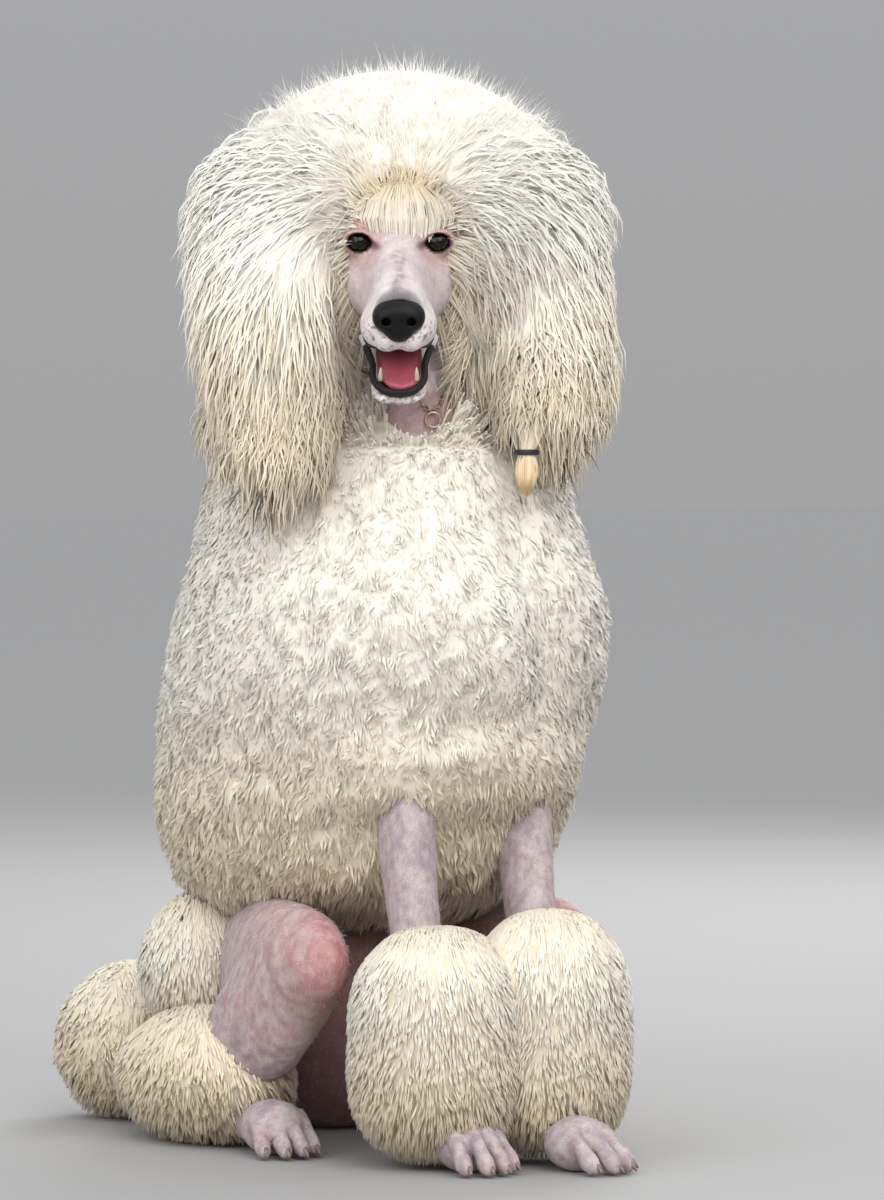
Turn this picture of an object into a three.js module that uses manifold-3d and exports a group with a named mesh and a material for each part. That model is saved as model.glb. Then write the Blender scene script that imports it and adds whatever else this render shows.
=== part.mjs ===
// A standard poodle in a show clip, sitting, as a life-size still model.
// Millimetres, +Z up. The body faces -Y and the dog's left is +X. The head is turned to its right.
// The face, throat, feet, forelegs, loin and thighs are shaved. The jacket, topknot, ear fringes,
// bracelets, hip rosettes and tail pompon are the long coat, made as a core with clumps or locks.
import * as THREE from "three";
import { mergeVertices } from "three/addons/utils/BufferGeometryUtils.js";
import Module from "manifold-3d";

const wasm = await Module();
wasm.setup();

// Driving sizes.
const FOOTPRINT_CENTRE = new THREE.Vector3(-3, 229, 0); // the model's origin is here, on the floor
const GAP = 0.35; // clear space kept between touching nodes
const CORE_SHARE = 0.5; // how far a coat's core reaches from the skin to the tips
const HEAD_YAW = THREE.MathUtils.degToRad(-28.5); // the head's turn to the dog's right
const HEAD_PITCH = THREE.MathUtils.degToRad(12); // the muzzle's drop below level
const EYES_MIDDLE = new THREE.Vector3(-55, 117, 729);
const NECK_TOP_Z = 688; // where the neck's coat ends and the topknot starts
const JACKET_TOP_Z = 556; // where the jacket ends and the neck starts

// The jacket's outer sections: height, front, back and half width.
const JACKET = [
  [168, 250, 400, 62],
  [189, 170, 452, 118],
  [219, 116, 472, 148],
  [268, 86, 480, 167],
  [317, 62, 476, 170],
  [358, 47, 461, 176],
  [399, 35, 446, 177],
  [441, 36, 428, 173],
  [482, 54, 412, 163],
  [523, 74, 396, 154],
  [580, 92, 360, 138],
];
const JACKET_DEPTH = 62; // coat from the skin to the tips

// Limbs.
const FORELEGS = {
  right: {
    elbow: [-52, 118, 312],
    middle: [-58, 90, 208],
    wrist: [-59, 60, 112],
    pastern: [-56, 32, 34],
    paw: [-52, -4],
    turn: 4,
    bracelet: { at: [-56, 52], radius: 72, low: 12, high: 192 },
  },
  left: {
    elbow: [61, 128, 312],
    middle: [50, 92, 208],
    wrist: [41, 50, 112],
    pastern: [36, 2, 34],
    paw: [31, -40],
    turn: 22,
    bracelet: { at: [35, 33], radius: 67, low: 14, high: 203 },
  },
};
const HINDLEGS = {
  right: {
    hip: [-62, 336, 138],
    knee: [-124, 142, 158],
    hock: [-134, 290, 58],
    paw: [-136, 166],
    turn: -4,
  },
  left: {
    hip: [62, 336, 138],
    knee: [108, 152, 158],
    hock: [132, 292, 58],
    paw: [126, 170],
    turn: 8,
  },
};

// Shared helpers.
const vec = (x, y, z) => new THREE.Vector3(x, y, z);
const UP = vec(0, 0, 1);

// A seeded random draw, the same in each run.
function randomFrom(seed) {
  let state = seed >>> 0;
  return () => {
    state = (state + 0x6d2b79f5) >>> 0;
    let t = state;
    t = Math.imul(t ^ (t >>> 15), t | 1);
    t ^= t + Math.imul(t ^ (t >>> 7), t | 61);
    return ((t ^ (t >>> 14)) >>> 0) / 4294967296;
  };
}

// A closed geometry as a solid, with its shared vertices merged and its faces pointing out.
function solidOf(geometry) {
  geometry.deleteAttribute("normal");
  geometry.deleteAttribute("uv");
  const merged = mergeVertices(geometry, 1e-4);
  const corners = merged.index.array;
  const kept = [];
  for (let i = 0; i < corners.length; i += 3) {
    const [a, b, c] = [corners[i], corners[i + 1], corners[i + 2]];
    if (a !== b && b !== c && a !== c) kept.push(a, b, c);
  }
  const build = (triVerts) =>
    new wasm.Manifold(
      new wasm.Mesh({
        numProp: 3,
        vertProperties: Float32Array.from(merged.attributes.position.array),
        triVerts,
      }),
    );
  const made = build(Uint32Array.from(kept));
  if (made.volume() > 0) return made;
  for (let i = 0; i < kept.length; i += 3) {
    [kept[i + 1], kept[i + 2]] = [kept[i + 2], kept[i + 1]];
  }
  return build(Uint32Array.from(kept));
}

// Moves each vertex of a three.js geometry with place(), and returns the closed solid.
function shaped(geometry, place) {
  const positions = geometry.getAttribute("position");
  const snap = (value) => Math.round(value * 1e6) / 1e6;
  for (let i = 0; i < positions.count; i++) {
    const from = vec(
      snap(positions.getX(i)),
      snap(positions.getY(i)),
      snap(positions.getZ(i)),
    );
    const to = place(from);
    positions.setXYZ(i, to.x, to.y, to.z);
  }
  return solidOf(geometry);
}

// A closed tube along t from 0 to 1. section(angle, t) is its surface and centre(t) its axis.
function loft(sides, steps, section, centre) {
  return shaped(new THREE.CylinderGeometry(1, 1, 1, sides, steps), (v) => {
    const t = v.y + 0.5;
    if (Math.hypot(v.x, v.z) < 0.5) return centre(t);
    return section(Math.atan2(v.x, v.z), t);
  });
}

function ellipsoid(centre, radii, sides = 12, rows = 8, turn = null) {
  return shaped(new THREE.SphereGeometry(1, sides, rows), (v) => {
    const point = vec(v.x * radii[0], v.z * radii[1], v.y * radii[2]);
    if (turn) point.applyEuler(turn);
    return point.add(centre);
  });
}

// Smooth interpolation of table rows [key, value, value, ...] at a key.
function rowAt(table, key) {
  const last = table.length - 1;
  const held = THREE.MathUtils.clamp(key, table[0][0], table[last][0]);
  let i = 0;
  while (i < last - 1 && table[i + 1][0] < held) i++;
  const t = (held - table[i][0]) / (table[i + 1][0] - table[i][0]);
  return table[i].slice(1).map((value, k) => {
    const next = table[i + 1][k + 1];
    const span = table[i + 1][0] - table[i][0];
    const slope = (a, b) => (table[b][k + 1] - table[a][k + 1]) / (table[b][0] - table[a][0]);
    const m0 = slope(Math.max(i - 1, 0), i + 1) * span;
    const m1 = slope(i, Math.min(i + 2, last)) * span;
    const h = t * t * (3 - 2 * t);
    return value + (next - value) * h + m0 * t * (1 - t) ** 2 - m1 * t * t * (1 - t);
  });
}

// A limb through stations [x, y, z, radius across, radius along], with flat ends.
function limb(stations, sides, steps, grow = 0) {
  const path = new THREE.CatmullRomCurve3(stations.map((s) => vec(s[0], s[1], s[2])));
  const radii = stations.map((s, i) => [i, s[3], s[4] ?? s[3]]);
  const ahead = (t) => path.getTangent(t);
  const radiusAt = (t) => rowAt(radii, t * (stations.length - 1));
  return loft(
    sides,
    steps,
    (angle, t) => {
      const [across, along] = radiusAt(t);
      const side = vec(1, 0, 0).addScaledVector(ahead(t), -ahead(t).x).normalize();
      const front = side.clone().cross(ahead(t)).normalize();
      return path
        .getPoint(t)
        .addScaledVector(side, (across + grow) * Math.cos(angle))
        .addScaledVector(front, (along + grow) * Math.sin(angle));
    },
    (t) => path.getPoint(t),
  );
}

// A rounded clump of coat from a root sunk in its core to its tip: a belly, a shoulder and a crown.
const CLUMP_RINGS = [
  { along: 0, wide: 0 },
  { along: 0.42, wide: 0.98 },
  { along: 0.8, wide: 0.7 },
  { along: 1, wide: 0 },
];
function clump(root, tip, radius, grow) {
  const axis = tip.clone().sub(root);
  const length = axis.length();
  axis.normalize();
  const turn = new THREE.Quaternion().setFromUnitVectors(vec(0, 1, 0), axis);
  return shaped(new THREE.SphereGeometry(1, 5, 3), (v) => {
    const ring = CLUMP_RINGS[Math.round(((1 + Math.asin(v.y) / (Math.PI / 2)) * 3) / 2)];
    const around = Math.hypot(v.x, v.z) || 1;
    const wide = ring.wide > 0 ? ring.wide * radius + grow : 0;
    const along = ring.along * length + (ring.along > 0.5 ? grow * 1.5 : 0);
    return vec((v.x / around) * wide, 0, (v.z / around) * wide)
      .applyQuaternion(turn)
      .add(root)
      .addScaledVector(axis, along);
  });
}

// A flat, tapered lock along a curve from its sunk root, past its bend, to its tip.
const LOCK_WIDTHS = [0.72, 1, 0.84, 0];
function lock({ root, bend, tip, outward, width, thick }, grow) {
  const path = new THREE.QuadraticBezierCurve3(root, bend, tip);
  const side = tip.clone().sub(root).cross(outward).normalize();
  const crown = tip.clone().sub(path.getPoint(2 / 3)).normalize();
  const put = (value, size) => (Math.abs(value) < 1e-5 ? 0 : Math.sign(value) * size);
  return shaped(new THREE.ConeGeometry(1, 1, 4, 3), (v) => {
    const t = v.y + 0.5;
    const share = LOCK_WIDTHS[Math.round(t * 3)];
    const ahead = path.getTangent(t);
    const face = side.clone().cross(ahead).normalize();
    return path
      .getPoint(t)
      .addScaledVector(crown, share > 0 ? 0 : 2 * grow)
      .addScaledVector(side, put(v.x, (share * width) / 2 + grow))
      .addScaledVector(face, put(v.z, (share * thick) / 2 + grow));
  });
}

// Everything on one side of a plane, as a large box with its face on that plane.
function halfSpace(point, normal, set) {
  const size = 3000; // wider than the dog from any place on it
  const box = new THREE.BoxGeometry(size, size, size);
  const turn = new THREE.Quaternion().setFromUnitVectors(UP, normal.clone().normalize());
  return shaped(box, (v) =>
    v
      .add(vec(0, 0, size / 2 + set))
      .applyQuaternion(turn)
      .add(point),
  );
}

const FLOOR = halfSpace(vec(0, 0, 0), UP, 0);
const joined = (solids) => solids.reduce((whole, piece) => whole.add(piece));

// The largest closed surface: it drops loose scraps and fills sealed hollows.
function largest(solid) {
  return solid.decompose().reduce((a, b) => (b.volume() > a.volume() ? b : a));
}

// Nodes. Each is cut clear of every earlier one that it meets.
const nodes = new Map();
const clearance = new Map(); // each node's solid, grown by GAP
function boxesMeet(a, b) {
  const [one, two] = [a.boundingBox(), b.boundingBox()];
  return [0, 1, 2].every((i) => one.min[i] < two.max[i] && two.min[i] < one.max[i]);
}
function addNode(name, colour, roughness, build, options = {}) {
  const { within = [], without = [], metalness = 0 } = options;
  let solid = build(0).intersect(FLOOR);
  let grown = build(GAP);
  for (const [point, normal] of within) {
    solid = solid.intersect(halfSpace(point, normal, GAP / 2));
    grown = grown.intersect(halfSpace(point, normal, -GAP / 2));
  }
  for (const space of without) {
    solid = solid.subtract(space);
    grown = grown.subtract(space);
  }
  for (const earlier of clearance.values()) {
    if (boxesMeet(solid, earlier)) solid = solid.subtract(earlier);
  }
  nodes.set(name, { solid: largest(solid), colour, roughness, metalness });
  clearance.set(name, grown);
}

// Colours.
const SKIN = "#b9a3a8";
const FACE = "#cfc3c0";
const COAT = "#ece3d2";
const BLACK = "#17171a";
const TONGUE = "#a8425a";
const BRASS = "#9a8a5a";

// Head frame: left, forward and up from the middle between the eyes.
const HEAD_FORWARD = vec(
  Math.sin(HEAD_YAW) * Math.cos(HEAD_PITCH),
  -Math.cos(HEAD_YAW) * Math.cos(HEAD_PITCH),
  -Math.sin(HEAD_PITCH),
);
const HEAD_LEFT = vec(Math.cos(HEAD_YAW), Math.sin(HEAD_YAW), 0);
const HEAD_UP = HEAD_FORWARD.clone().cross(HEAD_LEFT).normalize();
function headPoint(left, forward, up) {
  return EYES_MIDDLE.clone()
    .addScaledVector(HEAD_LEFT, left)
    .addScaledVector(HEAD_FORWARD, forward)
    .addScaledVector(HEAD_UP, up);
}

// The skull and muzzle: forward, top, bottom, half width, and the top's width as a share.
const SKULL = [
  [-124, 6, -34, 20, 1.0],
  [-112, 34, -54, 38, 0.95],
  [-80, 54, -70, 50, 0.92],
  [-50, 58, -76, 53, 0.88],
  [-22, 52, -76, 51, 0.86],
  [-2, 38, -73, 46, 0.84],
  [12, 20, -70, 41, 0.78],
  [26, 7, -68, 36, 0.68],
  [48, -4, -66, 32, 0.6],
  [72, -12, -64, 28, 0.62],
  [92, -18, -62, 25, 0.68],
  [106, -24, -60, 21, 0.76],
];
// The lower jaw, open: forward, top, bottom and half width.
const JAW = [
  [-46, -62, -92, 34],
  [-10, -70, -99, 31],
  [25, -79, -103, 27],
  [50, -87, -107, 24],
  [70, -94, -110, 20],
  [82, -98, -108, 13],
];
const EYE = { left: 31, forward: 7, up: 0, radius: 11 };
const NOSE = { forward: 108, up: -41, halfWidth: 19, halfHeight: 14, depth: 11 };
const NOSTRIL = { left: 10, forward: 117, up: -43, radii: [4.2, 6, 3.4] };

function headSection(table, grow, roundness = 2.3) {
  const first = table[0][0];
  const span = table[table.length - 1][0] - first;
  return (angle, t) => {
    const forward = first + span * t;
    const [top, bottom, half, topShare = 1] = rowAt(table, forward);
    const power = 2 / roundness;
    const c = Math.cos(angle);
    const s = Math.sin(angle);
    const share = THREE.MathUtils.lerp(1, topShare, (s + 1) / 2);
    const left = Math.sign(c) * Math.abs(c) ** power * (half * share + grow);
    const lift = Math.sign(s) * Math.abs(s) ** power * ((top - bottom) / 2 + grow);
    return headPoint(left, forward, (top + bottom) / 2 + lift);
  };
}
function headCentre(table, grow) {
  const first = table[0][0];
  const last = table[table.length - 1][0];
  return (t) => {
    const forward = THREE.MathUtils.lerp(first, last, t);
    const [top, bottom] = rowAt(table, forward);
    return headPoint(0, forward + (t > 0.5 ? grow : -grow), (top + bottom) / 2);
  };
}

function eyeBall(side, grow) {
  const centre = headPoint(side * EYE.left, EYE.forward, EYE.up);
  const r = EYE.radius + grow;
  return ellipsoid(centre, [r, r, r], 9, 6);
}

// A lid: an arched roll of skin over or under the eye.
function lid(side, up, grow) {
  const reach = EYE.radius + 1.5;
  const stations = [-1, -0.55, 0, 0.55, 1].map((k) => {
    const arch = Math.sqrt(Math.max(0, 1 - k * k));
    const at = headPoint(
      side * (EYE.left + 1 + k * 12.5),
      EYE.forward + reach * (0.55 + 0.3 * arch) - (k > 0 ? 6 * k : 0),
      EYE.up + up * (3 + 5.5 * arch),
    );
    return [at.x, at.y, at.z, 2.6 + 1.2 * arch, 2.6 + 1.2 * arch];
  });
  return limb(stations, 4, 4, grow);
}

// Both lips on one side as rolls of skin: each row is forward, left and up.
const UPPER_LIP = [[24, 30, -68], [52, 26, -65], [84, 20, -62], [102, 12, -62]];
const LOWER_LIP = [[24, 28, -78], [50, 22, -87], [68, 17, -95], [79, 8, -99]];
const LIP_RADIUS = { upper: 4, lower: 3.4 };
function lip(side, route, radius, grow) {
  const stations = route.map(([forward, left, up]) => [
    ...headPoint(side * left, forward, up),
    radius,
  ]);
  return limb(stations, 4, 3, grow);
}

function headSolid(grow) {
  const skull = loft(10, 11, headSection(SKULL, grow), headCentre(SKULL, grow));
  const folds = [-1, 1].flatMap((side) => [
    lid(side, 1, grow),
    lid(side, -1, grow),
    lip(side, UPPER_LIP, LIP_RADIUS.upper, grow),
  ]);
  return joined([skull, ...folds]);
}

function noseSolid(grow) {
  const pad = ellipsoid(
    headPoint(0, NOSE.forward, NOSE.up),
    [NOSE.halfWidth + grow, NOSE.depth + grow, NOSE.halfHeight + grow],
    10,
    6,
    new THREE.Euler(HEAD_PITCH, 0, HEAD_YAW, "ZXY"),
  );
  if (grow > 0) return pad;
  const nostrils = [-1, 1].map((side) =>
    ellipsoid(headPoint(side * NOSTRIL.left, NOSTRIL.forward, NOSTRIL.up), NOSTRIL.radii, 6, 4),
  );
  return nostrils.reduce((whole, hole) => whole.subtract(hole), pad);
}

// The hollow of the jaw under the tongue: forward, up, and its half width and half depth.
const JAW_BED = [[-20, -62, 16, 12], [20, -70, 16, 12], [50, -81, 16, 12], [72, -91, 16, 12]];
const CANINE = { root: [15, 68, -98], tip: [15.5, 73, -81], radii: [3.6, 2.6, 0.7] };
function jawSolid(grow) {
  const bone = loft(9, 5, headSection(JAW, grow, 2.1), headCentre(JAW, grow));
  const lips = [-1, 1].map((side) => lip(side, LOWER_LIP, LIP_RADIUS.lower, grow));
  if (grow > 0) return joined([bone, ...lips]);
  const bed = limb(
    JAW_BED.map(([forward, up, wide, deep]) => [...headPoint(0, forward, up), wide, deep]),
    6,
    2,
  );
  const canines = [-1, 1].map((side) => {
    const [root, tip] = [CANINE.root, CANINE.tip].map(([left, forward, up]) =>
      headPoint(side * left, forward, up),
    );
    const places = [root, root.clone().lerp(tip, 0.6), tip];
    return limb(places.map((at, i) => [...at, CANINE.radii[i]]), 4, 2);
  });
  return joined([joined([bone, ...lips]).subtract(bed), ...canines]);
}

// The tongue, from its root: forward, up, and its half width and half depth.
const TONGUE_ROWS = [
  [-12, -78, 17, 6],
  [20, -80, 17, 6],
  [48, -87, 15.5, 5.5],
  [68, -94.5, 13, 5],
  [79, -97, 8, 3.4],
];
function tongueSolid(grow) {
  const stations = TONGUE_ROWS.map(([forward, up, wide, deep]) => [
    ...headPoint(0, forward, up),
    wide,
    deep,
  ]);
  return limb(stations, 7, 5, grow);
}

// Collar: a slim chain round the throat, low at the front, with its ring.
const COLLAR = { centre: vec(5, 203, 622), halfX: 77, halfY: 77, drop: 34, thick: 2.2 };
const THROAT_YAW = HEAD_YAW * 0.6; // the throat's turn, part of the head's
const THROAT_AHEAD = vec(Math.sin(THROAT_YAW), -Math.cos(THROAT_YAW), 0);
const THROAT_SIDE = vec(-THROAT_AHEAD.y, THROAT_AHEAD.x, 0);
function collarPoint(angle) {
  return COLLAR.centre
    .clone()
    .addScaledVector(THROAT_AHEAD, COLLAR.halfY * Math.cos(angle))
    .addScaledVector(THROAT_SIDE, COLLAR.halfX * Math.sin(angle))
    .addScaledVector(UP, -COLLAR.drop * Math.cos(angle));
}
class CollarCurve extends THREE.Curve {
  getPoint(t) {
    return collarPoint(t * 2 * Math.PI);
  }
}
function ringAlong(curve, centre, radius, steps, sides) {
  const torus = new THREE.TorusGeometry(10, 1, sides, steps);
  return shaped(torus, (v) => {
    const t = (Math.atan2(v.y, v.x) / (2 * Math.PI) + 1) % 1;
    const out = (Math.hypot(v.x, v.y) - 10) * radius;
    const at = curve.getPoint(t);
    const tangent = curve.getTangent(t);
    const radial = at.clone().sub(centre).projectOnPlane(tangent).normalize();
    const lift = tangent.clone().cross(radial).normalize();
    return at.addScaledVector(radial, out).addScaledVector(lift, v.z * radius);
  });
}
const collarSolid = (grow) =>
  ringAlong(new CollarCurve(), COLLAR.centre, COLLAR.thick + grow, 20, 4);

// A small ring or band on its own circle, through the directions across and along.
class RingCurve extends THREE.Curve {
  constructor({ at, radius, across, along }) {
    super();
    Object.assign(this, { at, radius, across, along });
  }
  getPoint(t) {
    const angle = t * 2 * Math.PI;
    return this.at
      .clone()
      .addScaledVector(this.across, this.radius * Math.cos(angle))
      .addScaledVector(this.along, this.radius * Math.sin(angle));
  }
}
const smallRing = (ring, grow) => ringAlong(new RingCurve(ring), ring.at, ring.thick + grow, 8, 5);
const COLLAR_RING = {
  at: collarPoint(0).addScaledVector(UP, -12).addScaledVector(THROAT_AHEAD, -2),
  radius: 7,
  thick: 1.7,
  across: THROAT_SIDE,
  along: UP,
};

// Neck: shaved in front, with the mane's core and clumps at the sides and back.
const NECK = [
  [540, 0, 214, 84],
  [600, -3, 207, 70],
  [650, -6, 202, 62],
  [690, -8, 200, 58],
];
const MANE_FRONT = 0.95; // the half angle of the shaved throat, in radians
const NECK_CORE = { low: 545, high: 690 }; // past both of the neck's cut ends
const NECK_LOCKS = { count: 6, z: 660, from: 1.2, drop: 98, width: 122, thick: 48, spread: 8 };
const maneDepth = (z) => 64 - 0.03 * (z - JACKET_TOP_Z);
// The angle from the throat's front, at which the mane grows to its full depth.
function maneShare(angle) {
  const away = Math.abs(Math.atan2(Math.sin(angle), Math.cos(angle)));
  return THREE.MathUtils.smoothstep(away, MANE_FRONT, MANE_FRONT + 0.55);
}
function neckPoint(angle, z, share, grow = 0) {
  const [x, y, radius] = rowAt(NECK, z);
  const turn = HEAD_YAW * THREE.MathUtils.smoothstep(z, 540, 690);
  const heading = turn + angle;
  const reach = radius + maneShare(angle) * maneDepth(z) * share + grow;
  return vec(x + Math.sin(heading) * reach, y - Math.cos(heading) * reach, z);
}
function neckSolid(grow) {
  const heightAt = (t) => THREE.MathUtils.lerp(NECK_CORE.low, NECK_CORE.high, t);
  const core = loft(
    12,
    2,
    (angle, t) => neckPoint(-angle, heightAt(t), CORE_SHARE, grow),
    (t) => {
      const [x, y] = rowAt(NECK, heightAt(t));
      return vec(x, y, heightAt(t));
    },
  );
  const draw = randomFrom(11);
  const pieces = [core];
  const { count, z, from, spread } = NECK_LOCKS;
  for (let i = 0; i < count; i++) {
    const angle = THREE.MathUtils.lerp(from, 2 * Math.PI - from, (i + 0.25) / count);
    const drop = NECK_LOCKS.drop + spread * draw();
    pieces.push(
      lock(
        {
          root: neckPoint(angle, z, 0.3),
          bend: neckPoint(angle, z + 4, 1.35),
          tip: neckPoint(angle, z - drop, 1),
          outward: neckPoint(angle, z, 1).sub(neckPoint(angle, z, 0)),
          width: NECK_LOCKS.width + spread * draw(),
          thick: NECK_LOCKS.thick,
        },
        grow,
      ),
    );
  }
  return joined(pieces);
}

// Legs: one shaved limb each, with the bracelet's core and clumps on it.
const PAW_BALL = { forward: -14, up: 22, radii: [26, 27, 24] };
const TOES = [[-20, 3], [-7, 13], [7, 13], [20, 3]]; // left and forward of the paw's middle
function pawSolid({ paw, turn }, grow) {
  const angle = THREE.MathUtils.degToRad(turn);
  const at = (left, forward, up) =>
    vec(
      paw[0] + left * Math.cos(angle) + forward * Math.sin(angle),
      paw[1] + left * Math.sin(angle) - forward * Math.cos(angle),
      up,
    );
  const ball = at(0, PAW_BALL.forward, PAW_BALL.up);
  const pieces = [ellipsoid(ball, PAW_BALL.radii.map((r) => r + grow), 7, 4)];
  for (const [left, forward] of TOES) {
    const toe = [
      [...at(left * 0.72, forward - 20, 25), 8, 10],
      [...at(left, forward - 2, 20), 9, 12],
      [...at(left * 1.05, forward + 11, 11), 8.5, 10],
      [...at(left * 1.07, forward + 18, 8), 4.5, 5],
    ];
    const claw = [
      [...at(left * 1.05, forward + 12, 10), 3.4],
      [...at(left * 1.1, forward + 20, 8.5), 2.6],
      [...at(left * 1.14, forward + 26, 3.5), 0.8],
    ];
    pieces.push(limb(toe, 5, 2, grow), limb(claw, 3, 1, grow));
  }
  return joined(pieces);
}

// A barrel-shaped coat round a leg: the outer surface at an angle and a height.
function barrelPoint(barrel, angle, z, reach) {
  const middle = (barrel.low + barrel.high) / 2;
  const half = (barrel.high - barrel.low) / 2;
  const k = THREE.MathUtils.clamp((z - middle) / half, -1, 1);
  const bulge = (1 - Math.abs(k) ** 3.2) ** (1 / 2.4);
  const r = barrel.radius * reach * Math.max(bulge, 0.35);
  return vec(barrel.at[0] + r * Math.sin(angle), barrel.at[1] - r * Math.cos(angle), z);
}
// Rows of clumps up a barrel: the heights of their roots and tips, as shares of its half height.
const BARREL_ROWS = [
  { at: -0.68, tip: -0.84, count: 4, size: 43 },
  { at: -0.02, tip: -0.12, count: 4, size: 47 },
  { at: 0.64, tip: 0.74, count: 4, size: 42 },
];
const BARREL_CORE = { reach: 0.7, height: 0.9 }; // as shares of the whole
function barrelSolid(barrel, seed, grow) {
  const draw = randomFrom(seed);
  const middle = (barrel.low + barrel.high) / 2;
  const half = (barrel.high - barrel.low) / 2;
  const coreHalf = half * BARREL_CORE.height;
  const inner = { ...barrel, low: middle - coreHalf, high: middle + coreHalf };
  const heightAt = (t) => THREE.MathUtils.lerp(inner.low, inner.high, t);
  const core = loft(
    7,
    3,
    (angle, t) => barrelPoint(inner, -angle, heightAt(t), BARREL_CORE.reach + grow / barrel.radius),
    (t) => vec(barrel.at[0], barrel.at[1], heightAt(t)),
  );
  const pieces = [core];
  BARREL_ROWS.forEach((row, k) => {
    for (let i = 0; i < row.count; i++) {
      const angle = ((i + 0.5 * (k % 2) + 0.3 * draw()) * 2 * Math.PI) / row.count;
      const root = barrelPoint(barrel, angle, middle + row.at * half * 0.8, 0.42);
      const tip = barrelPoint(barrel, angle, middle + row.tip * half, 1);
      pieces.push(clump(root, tip, row.size * (0.95 + 0.1 * draw()), grow));
    }
  });
  return joined(pieces);
}

function forearmSolid(side, grow) {
  const leg = FORELEGS[side];
  const stations = [
    [...leg.elbow, 27, 32],
    [...leg.middle, 22, 25],
    [...leg.wrist, 19, 20],
    [...leg.pastern, 17, 18],
  ];
  return limb(stations, 9, 4, grow);
}
const braceletSolid = (side, grow) =>
  barrelSolid(FORELEGS[side].bracelet, side === "right" ? 21 : 22, grow);

// The plane that parts the two front bracelets where they press on each other.
function betweenBracelets() {
  const right = FORELEGS.right.bracelet;
  const left = FORELEGS.left.bracelet;
  const share = right.radius / (right.radius + left.radius);
  const across = vec(left.at[0] - right.at[0], left.at[1] - right.at[1], 0);
  const middle = vec(right.at[0], right.at[1], 0).addScaledVector(across, share);
  return { middle, across };
}
const PARTING = betweenBracelets();
const PARTING_SIDES = {
  right: [PARTING.middle, PARTING.across.clone().negate()],
  left: [PARTING.middle, PARTING.across],
};

// Hindquarters: the shaved loin and rump, and each thigh and shank.
const RUMP = { centre: vec(0, 338, 122), radii: [92, 104, 126] };
const rumpSolid = (grow) => ellipsoid(RUMP.centre, RUMP.radii.map((r) => r + grow), 12, 8);

const HOCK_BRACELETS = {
  right: { centre: [-137, 297, 55], radii: [66, 106, 57] },
  left: { centre: [134, 299, 55], radii: [66, 104, 57] },
};
function thighSolid(leg, grow) {
  const [hip, knee, hock] = [leg.hip, leg.knee, leg.hock];
  const out = Math.sign(hip[0]);
  const along = (from, to, share) => from.map((value, i) => value + (to[i] - value) * share);
  const haunch = along(hip, knee, 0.5);
  const calf = along(knee, hock, 0.4);
  const thigh = limb(
    [
      [...hip, 44, 66],
      [haunch[0] + out * 8, haunch[1], haunch[2] - 10, 40, 66],
      [...knee, 32, 42],
      [knee[0], knee[1] - 28, knee[2] + 2, 16, 20],
    ],
    9,
    5,
    grow,
  );
  const shank = limb(
    [
      [...knee, 28, 34],
      [calf[0], calf[1] + 4, calf[2] - 10, 32, 50],
      [...hock, 20, 30],
    ],
    8,
    3,
    grow,
  );
  return joined([thigh, shank]);
}
// A rounded coat of clumps on a core, over the part of an ellipsoid that keep() leaves.
function roundCoat({ centre, radii, count, size, seed, keep = () => true }, grow) {
  const draw = randomFrom(seed);
  const middle = vec(...centre);
  const scaled = (heading, reach) =>
    vec(heading.x * radii[0], heading.y * radii[1], heading.z * radii[2])
      .multiplyScalar(reach)
      .add(middle);
  const pieces = [ellipsoid(middle, radii.map((r) => r * 0.68 + grow), 7, 5)];
  for (let i = 0; i < count; i++) {
    const up = 1 - (2 * (i + 0.5)) / count;
    const angle = i * Math.PI * (3 - Math.sqrt(5)) + 0.15 * draw();
    const flat = Math.sqrt(1 - up * up);
    const heading = vec(flat * Math.cos(angle), flat * Math.sin(angle), up);
    const width = size * (0.95 + 0.1 * draw());
    if (keep(heading)) pieces.push(clump(scaled(heading, 0.4), scaled(heading, 1), width, grow));
  }
  return joined(pieces);
}

const ROSETTES = {
  right: { centre: [-112, 352, 141], radii: [52, 60, 62] },
  left: { centre: [112, 352, 141], radii: [52, 60, 62] },
};
function rosetteSolid(side, grow) {
  const out = side === "right" ? -1 : 1;
  const keep = (heading) => heading.x * out > -0.15;
  return roundCoat({ ...ROSETTES[side], count: 10, size: 40, seed: 31, keep }, grow);
}
function hockSolid(side, grow) {
  const keep = (heading) => heading.z > -0.85;
  return roundCoat({ ...HOCK_BRACELETS[side], count: 9, size: 52, seed: 33, keep }, grow);
}

// Tail: a docked stem with its pompon on the floor, on the dog's right.
const TAIL = { root: [-12, 408, 112], middle: [-50, 452, 96], pompon: [-118, 470, 68], radius: 68 };
const tailSolid = (grow) =>
  limb([[...TAIL.root, 17], [...TAIL.middle, 13], [...TAIL.pompon, 10]], 8, 4, grow);
const pomponSolid = (grow) => {
  const radii = [TAIL.radius, TAIL.radius, TAIL.radius];
  return roundCoat({ centre: TAIL.pompon, radii, count: 8, size: 48, seed: 41 }, grow);
};

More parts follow.
